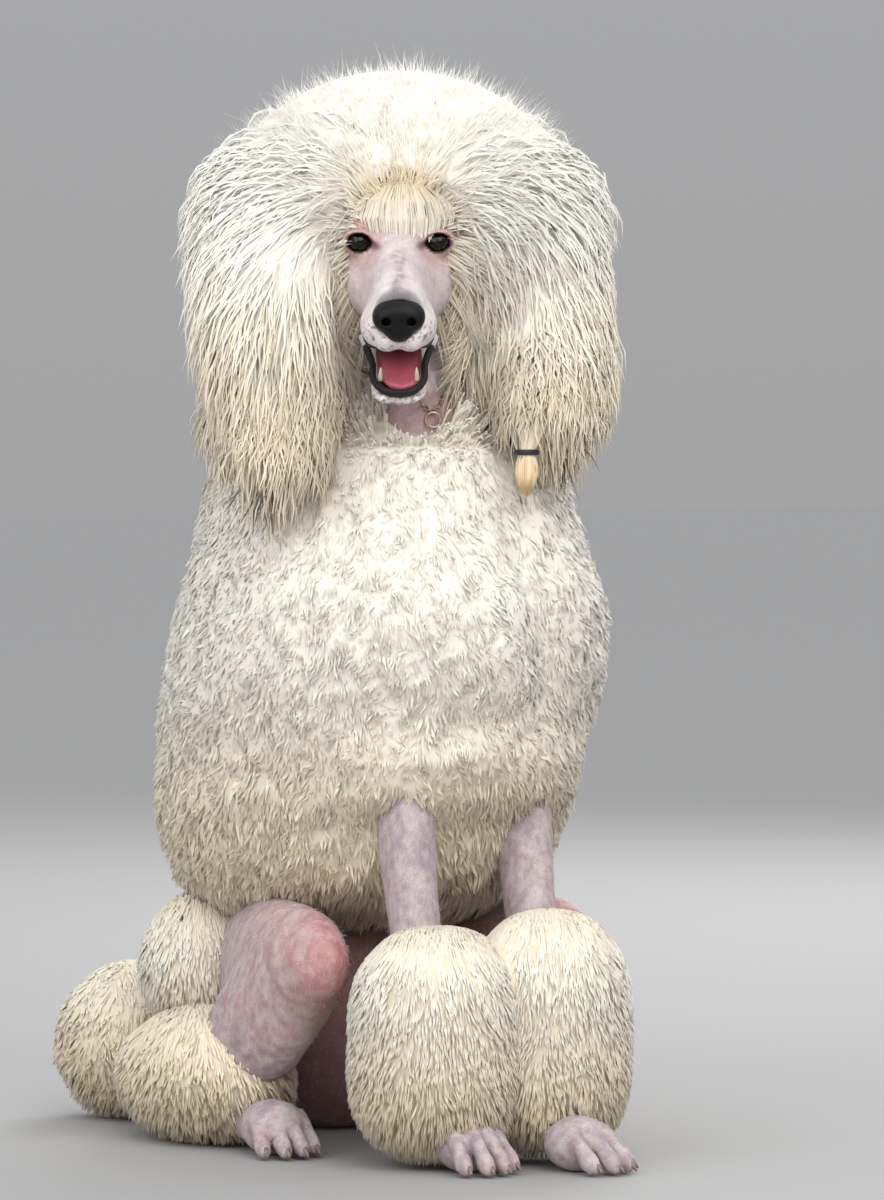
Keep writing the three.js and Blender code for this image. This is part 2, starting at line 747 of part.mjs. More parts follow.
// The jacket's surface at an angle and a height, inset from the tips.
function jacketPoint(angle, z, inset) {
  const [front, back, half] = rowAt(JACKET, z);
  const middle = (front + back) / 2;
  const deep = Math.max((back - front) / 2 - inset, 12);
  const wide = Math.max(half - inset, 12);
  return vec(wide * Math.sin(angle), middle - deep * Math.cos(angle), z);
}
const JACKET_CORE = { low: 192, high: 575 };
const JACKET_CLUMPS = { rows: [230, 322, 412, 500], spacing: 148, size: 72, lowest: 240 };
function jacketSolid(grow) {
  const draw = randomFrom(51);
  const inset = JACKET_DEPTH * (1 - CORE_SHARE) - grow;
  const heightAt = (t) =>
    THREE.MathUtils.lerp(JACKET_CORE.low + inset * 0.5, JACKET_CORE.high, t);
  const core = loft(
    12,
    5,
    (angle, t) => jacketPoint(-angle, heightAt(t), inset),
    (t) => jacketPoint(0, heightAt(t), 1e4).setX(0),
  );
  const pieces = [core];
  JACKET_CLUMPS.rows.forEach((z, row) => {
    const [front, back, half] = rowAt(JACKET, z);
    const round = Math.PI * ((back - front) / 2 + half);
    const count = Math.round(round / JACKET_CLUMPS.spacing);
    for (let i = 0; i < count; i++) {
      const angle = ((i + 0.5 * (row % 2) + 0.3 * draw()) * 2 * Math.PI) / count;
      const root = jacketPoint(angle, Math.max(z, JACKET_CLUMPS.lowest), JACKET_DEPTH * 0.8);
      const tip = jacketPoint(angle, z - 4, 2 * draw());
      pieces.push(clump(root, tip, JACKET_CLUMPS.size + 4 * draw(), grow));
    }
  });
  return joined(pieces);
}

// Topknot: locks that leave the skull all round the face, stand out and bend back over it.
const TOPKNOT = { left: 0, forward: -108, up: 4, radii: [160, 132, 130] };
const TOPKNOT_LIE = vec(0, -0.85, -0.4); // back and down, in the head frame
const TOPKNOT_LOCKS = { count: 30, width: 106, spread: 8, thick: 38, root: 0.5, lowest: -0.55 };
function topknotPoint(heading, reach) {
  return headPoint(
    TOPKNOT.left + heading.x * TOPKNOT.radii[0] * reach,
    TOPKNOT.forward + heading.y * TOPKNOT.radii[1] * reach,
    TOPKNOT.up + heading.z * TOPKNOT.radii[2] * reach,
  );
}
// The opening round the face, which the topknot leaves free.
function faceOpening(grow) {
  const stations = [
    [-34, -60, 40, 50],
    [0, -38, 58, 86],
    [60, -48, 68, 100],
    [140, -58, 84, 112],
  ].map(([forward, up, wide, deep]) => [...headPoint(0, forward, up), wide, deep]);
  return limb(stations, 9, 4, grow);
}
function topknotSolid(grow) {
  const draw = randomFrom(61);
  const core = shaped(new THREE.SphereGeometry(1, 10, 7), (v) =>
    topknotPoint(vec(v.x, v.z, v.y), 0.66 + grow / 120),
  );
  const pieces = [core];
  const { count, width, spread, thick, root, lowest } = TOPKNOT_LOCKS;
  for (let i = 0; i < count; i++) {
    const up = 1 - (2 * (i + 0.5)) / count;
    const angle = i * Math.PI * (3 - Math.sqrt(5)) + 0.2 * draw();
    const flat = Math.sqrt(1 - up * up);
    const heading = vec(flat * Math.cos(angle), flat * Math.sin(angle), up);
    const overFace = heading.y > 0.45 && Math.hypot(heading.x, heading.z + 0.3) < 0.5;
    if (overFace || heading.z < lowest) continue;
    const lie = TOPKNOT_LIE.clone().addScaledVector(heading, -TOPKNOT_LIE.dot(heading));
    const ahead = heading.clone().addScaledVector(lie, 0.42).normalize();
    const halfway = heading.clone().lerp(ahead, 0.3).normalize();
    const reach = 1 - 0.04 * draw();
    pieces.push(
      lock(
        {
          root: topknotPoint(heading, root),
          bend: topknotPoint(halfway, 1.02),
          tip: topknotPoint(ahead, reach),
          outward: topknotPoint(heading, 1).sub(topknotPoint(heading, 0)),
          width: width + spread * draw(),
          thick,
        },
        grow,
      ),
    );
  }
  return joined(pieces);
}

// Brow: the short puff of hair over the forehead, drawn back into a small band.
const BROW_BAND = {
  at: headPoint(0, -6, 47),
  radius: 9,
  thick: 2.4,
  across: HEAD_LEFT,
  along: HEAD_UP,
};
const BROW_CORE = { at: headPoint(0, -12, 36), radii: [34, 22, 14] };
const BROW_LOCKS = [-25, 0, 25]; // how far to the left each one lies
function browSolid(grow) {
  const core = ellipsoid(BROW_CORE.at, BROW_CORE.radii.map((r) => r + grow), 8, 5);
  const locks = BROW_LOCKS.map((left) =>
    lock(
      {
        root: headPoint(left * 0.8, 6, 18),
        bend: headPoint(left * 1.2, 20, 46 - Math.abs(left) * 0.3),
        tip: headPoint(left * 0.3, -12, 47),
        outward: HEAD_FORWARD.clone().multiplyScalar(0.5).add(HEAD_UP),
        width: 34,
        thick: 17,
      },
      grow,
    ),
  );
  return joined([core, ...locks]);
}

// Ears: a hanging flap of leather with its long fringe. The left fringe ends in a banded tail.
const EAR_BAND = {
  at: vec(31, 62, 562),
  radius: 8,
  thick: 2.4,
  across: vec(1, 0, 0),
  along: vec(0, 1, 0),
};
const EAR_TAIL = [
  [54, 74, 606, 26],
  [40, 66, 584, 17],
  [31, 62, 562, 8],
  [28, 58, 544, 14],
  [26, 54, 522, 3],
];
const EARS = {
  right: { base: headPoint(-66, -62, -6), middle: vec(-134, 152, 640), end: vec(-152, 142, 574) },
  left: { base: headPoint(66, -62, -6), middle: vec(58, 86, 650), end: vec(60, 74, 606) },
};
const EAR_ROWS = [0.34, 0.84]; // where its rings of locks are, down the flap
const EAR_LOCKS = { around: 3, wide: 52, deep: 42, drop: 58, width: 92, thick: 34 };
function earSolid(side, grow) {
  const ear = EARS[side];
  const draw = randomFrom(side === "right" ? 71 : 72);
  const stations = [
    [...ear.base, 24, 22],
    [...ear.middle, 34, 26],
    [...ear.end, 26, 18],
  ];
  const path = new THREE.CatmullRomCurve3([ear.base, ear.middle, ear.end]);
  const pieces = [limb(stations, 6, 3, grow)];
  if (side === "left") pieces.push(limb(EAR_TAIL, 4, 4, grow));
  const { around, wide, deep, width, thick } = EAR_LOCKS;
  EAR_ROWS.forEach((at, row) => {
    const centre = path.getPoint(at);
    const down = path.getTangent(at);
    const across = HEAD_LEFT.clone().projectOnPlane(down).normalize();
    const front = down.clone().cross(across).normalize();
    for (let i = 0; i < around; i++) {
      const angle = ((i + 0.5 * (row % 2) + 0.2 * draw()) * 2 * Math.PI) / around;
      const out = across
        .clone()
        .multiplyScalar(wide * Math.cos(angle))
        .addScaledVector(front, deep * Math.sin(angle));
      const drop = EAR_LOCKS.drop + 12 * draw();
      pieces.push(
        lock(
          {
            root: centre.clone().addScaledVector(out, 0.2),
            bend: centre.clone().add(out).addScaledVector(down, 4),
            tip: centre.clone().addScaledVector(out, 0.8).addScaledVector(down, drop),
            outward: out,
            width: width + 6 * draw(),
            thick,
          },
          grow,
        ),
      );
    }
  });
  return joined(pieces);
}

// Every node, with the harder ones first, as each is cut clear of those before it.
const SIDES = ["right", "left"];
const JACKET_TOP = vec(0, 0, JACKET_TOP_Z);
const NECK_TOP = vec(0, 0, NECK_TOP_Z);
const DOWN = UP.clone().negate();
addNode("eye_right", BLACK, 0.1, (grow) => eyeBall(-1, grow));
addNode("eye_left", BLACK, 0.1, (grow) => eyeBall(1, grow));
addNode("nose", BLACK, 0.45, noseSolid);
addNode("head", FACE, 0.8, headSolid);
addNode("tongue", TONGUE, 0.4, tongueSolid);
addNode("jaw", FACE, 0.8, jawSolid);
addNode("collar", BRASS, 0.35, collarSolid, { metalness: 1 });
addNode("collar_ring", BRASS, 0.35, (grow) => smallRing(COLLAR_RING, grow), { metalness: 1 });
for (const side of SIDES) {
  addNode(`forepaw_${side}`, SKIN, 0.85, (grow) => pawSolid(FORELEGS[side], grow));
  addNode(`hindpaw_${side}`, SKIN, 0.85, (grow) => pawSolid(HINDLEGS[side], grow));
}
for (const side of SIDES) {
  addNode(`bracelet_${side}`, COAT, 0.9, (grow) => braceletSolid(side, grow), {
    within: [PARTING_SIDES[side]],
  });
  addNode(`foreleg_${side}`, SKIN, 0.85, (grow) => forearmSolid(side, grow));
}
addNode("rump", SKIN, 0.85, rumpSolid);
for (const side of SIDES) {
  addNode(`thigh_${side}`, SKIN, 0.85, (grow) => thighSolid(HINDLEGS[side], grow));
  addNode(`rosette_${side}`, COAT, 0.9, (grow) => rosetteSolid(side, grow));
  addNode(`hock_${side}`, COAT, 0.9, (grow) => hockSolid(side, grow));
}
addNode("tail", SKIN, 0.85, tailSolid);
addNode("tail_pompon", COAT, 0.9, pomponSolid);
addNode("neck", COAT, 0.9, neckSolid, {
  within: [[JACKET_TOP, UP], [NECK_TOP, DOWN]],
});
addNode("torso", COAT, 0.9, jacketSolid, { within: [[JACKET_TOP, DOWN]] });
addNode("brow", COAT, 0.9, browSolid);
addNode("brow_band", BLACK, 0.6, (grow) => smallRing(BROW_BAND, grow));
addNode("ear_band", BLACK, 0.6, (grow) => smallRing(EAR_BAND, grow));
addNode("topknot", COAT, 0.9, topknotSolid, {
  within: [[NECK_TOP, UP]],
  without: [faceOpening(0)],
});
for (const side of SIDES) {
  const build = (grow) => earSolid(side, grow);
  addNode(`ear_${side}`, COAT, 0.9, build, { without: [faceOpening(3)] });
}

// The exported group: one named mesh for each node, stood on the centre of its footprint.
function meshOf(name, { solid, colour, roughness, metalness }) {
  const mesh = solid.getMesh();
  const positions = new Float32Array(mesh.numVert * 3);
  for (let i = 0; i < mesh.numVert; i++) {
    positions.set(mesh.vertProperties.subarray(i * mesh.numProp, i * mesh.numProp + 3), i * 3);
  }
  const geometry = new THREE.BufferGeometry();
  geometry.setAttribute("position", new THREE.BufferAttribute(positions, 3));
  geometry.setIndex(new THREE.BufferAttribute(mesh.triVerts, 1));
  geometry.computeVertexNormals();
  const made = new THREE.Mesh(
    geometry,
    new THREE.MeshStandardMaterial({ color: colour, roughness, metalness }),
  );
  made.name = name;
  return made;
}

const poodle = new THREE.Group();
for (const [name, node] of nodes) poodle.add(meshOf(name, node));
poodle.position.copy(FOOTPRINT_CENTRE).negate();

export default poodle;
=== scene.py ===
"""The looks of the sitting standard poodle: one skin, its coat in tufts and locks, and its trim."""

import math

import bpy
import numpy as np
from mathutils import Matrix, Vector
from mathutils.bvhtree import BVHTree


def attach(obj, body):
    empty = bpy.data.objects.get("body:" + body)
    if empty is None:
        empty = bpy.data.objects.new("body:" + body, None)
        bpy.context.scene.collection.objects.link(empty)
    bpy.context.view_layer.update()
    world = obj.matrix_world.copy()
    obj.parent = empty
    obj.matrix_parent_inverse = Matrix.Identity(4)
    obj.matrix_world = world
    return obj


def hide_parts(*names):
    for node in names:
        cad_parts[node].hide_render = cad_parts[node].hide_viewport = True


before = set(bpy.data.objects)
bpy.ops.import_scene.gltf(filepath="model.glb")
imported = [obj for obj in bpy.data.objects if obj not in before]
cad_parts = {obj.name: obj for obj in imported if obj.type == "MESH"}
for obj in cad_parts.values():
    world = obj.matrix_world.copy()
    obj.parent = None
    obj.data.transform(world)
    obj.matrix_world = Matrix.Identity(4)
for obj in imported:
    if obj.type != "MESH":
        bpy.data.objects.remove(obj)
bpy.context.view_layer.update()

# Sizes are in millimetres in the dog's own frame, as in the CAD source: the floor is z 0,
# the body faces -Y and the dog's left is +X. Meshes are moved by the footprint's centre.
FOOTPRINT_CENTRE = np.array([-3.0, 229.0, 0.0])
MM = 0.001
SIDES = {"right": -1, "left": 1}
CIRCLE = 2 * math.pi
UP = np.array([0, 0, 1.0])
VIEW_SIDE = np.array([-0.5, -0.866, 0.0])  # where the photo was taken from, on the dog's right


def metres(points):
    return (np.asarray(points, float) - FOOTPRINT_CENTRE) * MM


def unit(v):
    return v / np.maximum(np.linalg.norm(v, axis=-1, keepdims=True), 1e-9)


def flattened(v, normal, share=1.0):
    """A vector laid along a surface: its part along the normal is taken off."""
    return v - normal * (v * normal).sum(-1, keepdims=True) * share


def smoothstep(x, low, high):
    t = np.clip((x - low) / (high - low), 0, 1)
    return t * t * (3 - 2 * t)


def lerp(a, b, t):
    return a + (b - a) * t


def columns_at(table, key):
    """Smooth interpolation of a table's rows (key, value, value, ...), as one array a column."""
    rows = np.array(table, float)
    keys, values = rows[:, 0], rows[:, 1:]
    held = np.clip(key, keys[0], keys[-1])
    i = np.searchsorted(keys[1:-1], held)
    span = keys[i + 1] - keys[i]
    t = ((held - keys[i]) / span)[..., None]
    span = span[..., None]
    before, after = np.maximum(i - 1, 0), np.minimum(i + 2, len(keys) - 1)
    m0 = (values[i + 1] - values[before]) / (keys[i + 1] - keys[before])[..., None] * span
    m1 = (values[after] - values[i]) / (keys[after] - keys[i])[..., None] * span
    ends = m0 * t * (1 - t) ** 2 - m1 * t * t * (1 - t)
    return np.moveaxis(lerp(values[i], values[i + 1], t * t * (3 - 2 * t)) + ends, -1, 0)


class Waves:
    """Smooth, seeded noise: a sum of waves of about one length, in each of three outputs."""

    def __init__(self, seed, length, count=10):
        draw = np.random.default_rng(seed)
        headings = unit(draw.normal(size=(3, count, 3)))
        self.k = headings * (CIRCLE / length) * draw.uniform(0.7, 1.4, (3, count, 1))
        self.phase = draw.uniform(0, CIRCLE, (3, count))
        self.scale = math.sqrt(2 / count)

    def __call__(self, points):
        sums = [np.sin(points @ k.T + phase).sum(-1) for k, phase in zip(self.k, self.phase)]
        return np.stack(sums, -1) * self.scale


CURL = Waves(7, 30)
FINE_CURL = Waves(8, 10)
SHADE = Waves(9, 70)
SPECKLE = Waves(11, 5.5)
WRINKLE = Waves(21, 46)
BILLOW = Waves(31, 44)
SMALL_BILLOW = Waves(32, 20)


# Colours, given as they look on a screen.
def linear(hex_colour):
    raw = np.array([int(hex_colour[i : i + 2], 16) / 255 for i in (1, 3, 5)])
    return np.where(raw <= 0.04045, raw / 12.92, ((raw + 0.055) / 1.055) ** 2.4)


WHITE_COAT = linear("#fdfaf4")
CREAM_COAT = linear("#f6ecdb")
GOLDEN_COAT = linear("#ead6b2")
PEACH_COAT = linear("#efcf9f")
# The coat near its roots is creamier and darker: partly the hair's own cream, partly painted shade
# deep in the coat.
ROOT_COAT_SHADE = linear("#efe3cd")
SHORT_HAIR = linear("#d2cbc4")
SKIN_LAVENDER = linear("#ab9ba3")
SKIN_THROAT = linear("#b79fa0")
SKIN_PINK = linear("#bb9493")
SKIN_RED = linear("#bd7270")
# Darker skin between the hind legs: partly its own colour, partly painted shade.
SKIN_INNER_SHADE = linear("#a98480")
FACE_WHITE = linear("#d6cdcc")
FACE_PINK = linear("#c99f97")
FACE_GREY = linear("#91868a")
MUZZLE_WHITE = linear("#ebe7e4")
EYE_CORNER = linear("#6a5250")
EYE_RIM = linear("#4a3434")
LIP_BLACK = linear("#1b191b")
# A dark red painted as shade inside the mouth.
MOUTH_SHADE = linear("#4a1c22")
# The tongue's pink, and a dark red painted as shade at its back, under the upper lip.
TONGUE_PINK, TONGUE_SHADE = linear("#c4616f"), linear("#4d1c24")
EYE_WHITE, IRIS, PUPIL = linear("#4a3a34"), linear("#170d09"), linear("#030202")

# The head's frame: left, forward and up from the middle between the eyes.
HEAD_YAW = math.radians(-28.5)
HEAD_PITCH = math.radians(12)
EYES_MIDDLE = np.array([-55.0, 117.0, 729.0])
HEAD_LEFT = np.array([math.cos(HEAD_YAW), math.sin(HEAD_YAW), 0])
LEVEL_AHEAD = np.array([math.sin(HEAD_YAW), -math.cos(HEAD_YAW), 0])
HEAD_FORWARD = LEVEL_AHEAD * math.cos(HEAD_PITCH) - UP * math.sin(HEAD_PITCH)
HEAD_UP = np.cross(HEAD_FORWARD, HEAD_LEFT)
HEAD_AXES = np.array([HEAD_LEFT, HEAD_FORWARD, HEAD_UP])


def head_point(left, forward, up):
    local = np.stack(np.broadcast_arrays(left, forward, up), -1).astype(float)
    return EYES_MIDDLE + local @ HEAD_AXES


def head_local(points):
    return (points - EYES_MIDDLE) @ HEAD_AXES.T


# Driving sizes of the coat, as in the CAD source. The jacket: height, front, back, half width.
JACKET = [
    (168, 250, 400, 62), (189, 170, 452, 118), (219, 116, 472, 148), (268, 86, 480, 167),
    (317, 62, 476, 170), (358, 47, 461, 176), (399, 35, 446, 177), (441, 36, 428, 173),
    (482, 54, 412, 163), (523, 74, 396, 154), (580, 92, 360, 138),
]
JACKET_DEPTH = 62
CORE_SHARE = 0.5
# The neck: height, the middle's x and y, radius.
NECK = [(540, 0, 214, 84), (600, -3, 207, 70), (650, -6, 202, 62), (700, -8, 200, 57)]
NECK_TURN = (540, 690)  # the heights between which the neck turns to the head's heading
MANE_FRONT, MANE_BACK = 0.95, 1.5  # the angles between which the mane rises to its depth
MANE_DEPTH = 64
JACKET_TOP_Z = 556
TOPKNOT_MIDDLE = np.array([0, -108, 4])
TOPKNOT_RADII = np.array([160.0, 132.0, 130.0])
BRACELETS = {
    "right": {"at": (-56, 52), "radius": 72, "low": 12, "high": 192},
    "left": {"at": (35, 33), "radius": 67, "low": 14, "high": 203},
}
ROSETTES = {
    side: {"centre": (sign * 112, 352, 141), "radii": (52, 60, 62)} for side, sign in SIDES.items()
}
HOCKS = {
    "right": {"centre": (-137, 297, 55), "radii": (66, 106, 57)},
    "left": {"centre": (134, 299, 55), "radii": (66, 104, 57)},
}
POMPON = {"centre": (-118, 470, 68), "radii": (68, 68, 68)}
RUMP = {"centre": (0, 338, 122), "radii": (92, 104, 126)}
# The cores under the coat, and the wool over them, as shares of the coat's own reach.
ROUND_CORE, BARREL_CORE, TOPKNOT_CORE = 0.62, 0.62, 0.6
ROUND_WOOL, BARREL_WOOL, TOPKNOT_WOOL = 0.92, 0.93, 0.9
UNDERCOAT = 4.5  # how far the jacket's wool lies below the tips
# Limbs and ears: x, y, z and radii across and along. Each ear hangs from the skull's side.
EARS = {
    "right": [
        (*head_point(-66, -62, -6), 24, 22), (-134, 152, 640, 34, 26), (-152, 142, 574, 26, 18),
    ],
    "left": [(*head_point(66, -62, -6), 24, 22), (58, 86, 650, 34, 26), (60, 74, 606, 26, 18)],
}
FORELEGS = {
    "right": {
        "limb": [
            (-52, 118, 312, 25, 31), (-58, 90, 208, 20, 24),
            (-59, 60, 112, 18, 20), (-56, 32, 34, 17, 18),
        ],
        "paw": (-52, -4), "turn": 4,
    },
    "left": {
        "limb": [
            (61, 128, 312, 25, 31), (50, 92, 208, 20, 24),
            (41, 50, 112, 19, 20), (36, 2, 34, 17, 18),
        ],
        "paw": (31, -40), "turn": 22,
    },
}
HINDLEGS = {
    "right": {
        "hip": (-62, 336, 138), "knee": (-124, 142, 158), "hock": (-134, 290, 58),
        "paw": (-136, 166), "turn": -4,
    },
    "left": {
        "hip": (62, 336, 138), "knee": (108, 152, 158), "hock": (132, 292, 58),
        "paw": (126, 170), "turn": 8,
    },
}
TAIL = [(-12, 408, 112, 17), (-50, 452, 96, 13), (-118, 470, 68, 10)]
TOES = ((-20, 3), (-7, 13), (7, 13), (20, 3))


# The coat's surfaces: a point for an angle, from the front, and a height.
def around(x, y, angle, wide, deep, z):
    """Points round an upright axis at x and y."""
    return np.stack([x + wide * np.sin(angle), y - deep * np.cos(angle), z + 0 * angle], -1)


def ball_heading(angle, height, front=-1):
    """Directions from a ball's middle, for heights of -1 to 1."""
    flat = np.sqrt(np.maximum(1 - height**2, 0))
    return np.stack([flat * np.sin(angle), front * flat * np.cos(angle), height], -1)


def jacket_section(z, inset):
    """The jacket's half width, half depth and middle at a height."""
    front, back, half = columns_at(JACKET, z)
    deep = np.maximum((back - front) / 2 - inset, 12)
    return np.maximum(half - inset, 12), deep, (front + back) / 2


def jacket_point(angle, z, inset):
    wide, deep, middle = jacket_section(z, inset)
    return around(0, middle, angle, wide, deep, z)


def neck_heading(z):
    return HEAD_YAW * smoothstep(z, *NECK_TURN)


def mane_reach(angle, z, share):
    """How far the mane stands off the neck: nothing in front, and its whole depth behind."""
    away = np.abs(np.arctan2(np.sin(angle), np.cos(angle)))
    depth = MANE_DEPTH - 0.03 * (z - JACKET_TOP_Z)
    return smoothstep(away, MANE_FRONT, MANE_BACK) * depth * share


def neck_point(angle, z, share):
    x, y, radius = columns_at(NECK, z)
    reach = radius + mane_reach(angle, z, share)
    return around(x, y, neck_heading(z) + angle, reach, reach, z)


def barrel_point(barrel, angle, z, reach):
    middle = (barrel["low"] + barrel["high"]) / 2
    half = (barrel["high"] - barrel["low"]) / 2
    k = np.clip((z - middle) / half, -1, 1)
    bulge = (1 - np.abs(k) ** 3.2) ** (1 / 2.4)
    r = barrel["radius"] * reach * np.maximum(bulge, 0.04)
    return around(*barrel["at"], angle, r, r, z)


def round_point(form, angle, height, reach):
    radii = np.array(form["radii"], float)
    return np.array(form["centre"], float) + ball_heading(angle, height) * radii * reach


def topknot_at(heading, reach):
    return EYES_MIDDLE + (heading * TOPKNOT_RADII * reach + TOPKNOT_MIDDLE) @ HEAD_AXES


def topknot_point(angle, height):
    return topknot_at(ball_heading(angle, height, 1), 1.0)


# Solids as signed distances: each form is a function of a grid and the corners of its box.
def smooth_min(a, b, k):
    h = np.clip(0.5 + 0.5 * (b - a) / k, 0, 1)
    return b + (a - b) * h - k * h * (1 - h)


class Field:
    """Signed distance on a grid, to which forms are added and from which they are cut."""

    FAR = 40.0
    MARGIN = 6

    def __init__(self, xs, ys, zs):
        self.axes = [xs, ys, zs]
        self.d = np.full((len(xs), len(ys), len(zs)), self.FAR, np.float32)

    def window(self, low, high, margin):
        slices = []
        for axis, lo, hi in zip(self.axes, low, high):
            first, last = np.searchsorted(axis, (lo - margin, hi + margin))
            slices.append(slice(max(first - 1, 0), last + 1))
        x, y, z = (axis[s] for axis, s in zip(self.axes, slices))
        return tuple(slices), (x[:, None, None], y[None, :, None], z[None, None, :])

    def merge(self, form, blend, sign):
        distance, low, high = form
        where, grid = self.window(low, high, blend + self.MARGIN)
        if self.d[where].size:
            self.d[where] = sign * smooth_min(sign * self.d[where], distance(*grid), blend)

    def add(self, form, blend):
        self.merge(form, blend, 1)

    def cut(self, form, blend):
        self.merge(form, blend, -1)

    def surface(self):
        """The field's zero surface as points and quads, by surface nets."""
        d = self.d
        inside = d < 0
        shape = np.array(d.shape)
        corners = [(i, j, k) for i in (0, 1) for j in (0, 1) for k in (0, 1)]
        count = np.zeros(shape - 1, np.int8)
        for i, j, k in corners:
            count += inside[i : shape[0] - 1 + i, j : shape[1] - 1 + j, k : shape[2] - 1 + k]
        cells = np.argwhere((count > 0) & (count < len(corners)))
        index = np.full(shape - 1, -1, np.int64)
        index[tuple(cells.T)] = np.arange(len(cells))
        total = np.zeros((len(cells), 3))
        crossings = np.zeros(len(cells))
        edges_of_cell = [(a, axis) for a in corners for axis in range(3) if not a[axis]]
        for a, axis in edges_of_cell:
            b = list(a)
            b[axis] = 1
            pa, pb = cells + a, cells + b
            da, db = d[tuple(pa.T)], d[tuple(pb.T)]
            crosses = (da < 0) != (db < 0)
            t = np.where(crosses, da / np.where(crosses, da - db, 1), 0)
            total += np.where(crosses[:, None], pa + (pb - pa) * t[:, None], 0)
            crossings += crosses
        points = total / crossings[:, None]
        world = [np.interp(points[:, i], np.arange(shape[i]), self.axes[i]) for i in range(3)]
        quads = []
        for axis in range(3):
            u, v = [i for i in range(3) if i != axis]
            lower = np.take(inside, np.arange(shape[axis] - 1), axis)
            upper = np.take(inside, np.arange(1, shape[axis]), axis)
            edges = np.argwhere(lower != upper)
            edges = edges[(edges[:, u] > 0) & (edges[:, v] > 0)]
            edges = edges[(edges[:, u] < shape[u] - 1) & (edges[:, v] < shape[v] - 1)]
            ring = []
            for du, dv in ((1, 1), (0, 1), (0, 0), (1, 0)):
                cell = edges.copy()
                cell[:, u] -= du
                cell[:, v] -= dv
                ring.append(index[tuple(cell.T)])
            quad = np.stack(ring, 1)
            flip = inside[tuple(edges.T)] == (axis == 1)
            quad[flip] = quad[flip][:, ::-1]
            quads.append(quad)
        return np.stack(world, 1), np.concatenate(quads)


def ellipsoid(centre, radii, axes=np.eye(3)):
    """An ellipsoid with its own axes, each a row of axes."""
    centre, radii = np.array(centre, float), np.array(radii, float)

    def distance(x, y, z):
        offset = (x - centre[0], y - centre[1], z - centre[2])
        k1 = k2 = 0
        for axis, radius in zip(axes, radii):
            along = sum(o * a for o, a in zip(offset, axis)) / radius
            k1 = k1 + along**2
            k2 = k2 + (along / radius) ** 2
        k1 = np.sqrt(k1)
        return k1 * (k1 - 1) / np.maximum(np.sqrt(k2), 1e-6)

    reach = np.abs(np.array(axes) * radii[:, None]).sum(0)
    return distance, centre - reach, centre + reach


def round_form(form, share=1.0):
    return ellipsoid(form["centre"], np.array(form["radii"]) * share)


def head_ellipsoid(left, forward, up, radii):
    return ellipsoid(head_point(left, forward, up), radii, HEAD_AXES)


def curve_through(stations, steps):
    """Catmull-Rom rows through rows of numbers, a few for each span."""
    rows = np.array(stations, float)
    padded = np.concatenate([[2 * rows[0] - rows[1]], rows, [2 * rows[-1] - rows[-2]]])
    out = []
    for i in range(len(rows) - 1):
        a, b, c, d = padded[i : i + 4]
        for t in np.arange(steps) / steps:
            terms = (c - a) * t + (2 * a - 5 * b + 4 * c - d) * t**2
            out.append(0.5 * (2 * b + terms + (3 * b - a - 3 * c + d) * t**3))
    return np.array([*out, rows[-1]])


def tube(stations, steps=3, side=(1, 0, 0)):
    """A limb through (x, y, z, across, along) rows, with round ends."""
    rows = curve_through([r if len(r) == 5 else (*r, r[3]) for r in stations], steps)
    side = np.array(side, float)

    def distance(x, y, z):
        best = None
        for a, b in zip(rows[:-1], rows[1:]):
            length = np.linalg.norm(b[:3] - a[:3])
            ahead = (b[:3] - a[:3]) / length
            across = unit(side - ahead * (side @ ahead))
            front = np.cross(across, ahead)
            offset = (x - a[0], y - a[1], z - a[2])
            along = sum(o * c for o, c in zip(offset, ahead))
            t = np.clip(along / length, 0, 1)
            ra, rb = lerp(a[3], b[3], t), lerp(a[4], b[4], t)
            qa = sum(o * c for o, c in zip(offset, across)) / ra
            qb = sum(o * c for o, c in zip(offset, front)) / rb
            qc = (along - t * length) / np.minimum(ra, rb)
            k1 = np.sqrt(qa**2 + qb**2 + qc**2)
            k2 = np.sqrt((qa / ra) ** 2 + (qb / rb) ** 2 + (qc / np.minimum(ra, rb)) ** 2)
            d = k1 * (k1 - 1) / np.maximum(k2, 1e-6)
            best = d if best is None else np.minimum(best, d)
        return best

    margin = rows[:, 3:].max()
    return distance, rows[:, :3].min(0) - margin, rows[:, :3].max(0) + margin


def head_tube(stations, steps=3):
    """A tube whose rows are left, forward, up, across and along in the head's frame."""
    return tube([(*head_point(*r[:3]), *r[3:]) for r in stations], steps, side=HEAD_LEFT)


def head_loft(table, roundness):
    """A rounded form through sections in the head's frame."""
    rows = [r if len(r) == 5 else (*r, 1.0) for r in table]
    first, last = rows[0][0], rows[-1][0]
    stops = np.linspace(first, last, 120)
    columns = columns_at(rows, stops)

    def distance(x, y, z):
        offset = (x - EYES_MIDDLE[0], y - EYES_MIDDLE[1], z - EYES_MIDDLE[2])
        left, forward, up = (sum(o * a for o, a in zip(offset, axis)) for axis in HEAD_AXES)
        top, bottom, half, share = (np.interp(forward, stops, c) for c in columns)
        middle, high = (top + bottom) / 2, (top - bottom) / 2
        lift = (up - middle) / high
        wide = half * lerp(1, share, (np.clip(lift, -1, 1) + 1) / 2)
        k = (np.abs(left / wide) ** roundness + np.abs(lift) ** roundness) ** (1 / roundness)
        d = (k - 1) * np.minimum(wide, high) * 0.9
        over = np.maximum(np.maximum(first - forward, forward - last), 0)
        return np.where(over > 0, np.hypot(np.maximum(d, 0), over), d)

    ends = [
        head_point(side * 56, f, u) for side in (-1, 1) for f in (first, last) for u in (-112, 62)
    ]
    return distance, np.min(ends, 0) - 6, np.max(ends, 0) + 6


def stacked(section, z_low, z_high, low, high):
    """A solid between two heights, from a function that gives the distance in a level section."""

    def distance(x, y, z):
        d = section(x, y, z)
        over = np.maximum(z_low - z, z - z_high)
        return np.where(over > 0, np.hypot(np.maximum(d, 0), over), np.maximum(d, over))

    return distance, np.array(low, float), np.array(high, float)


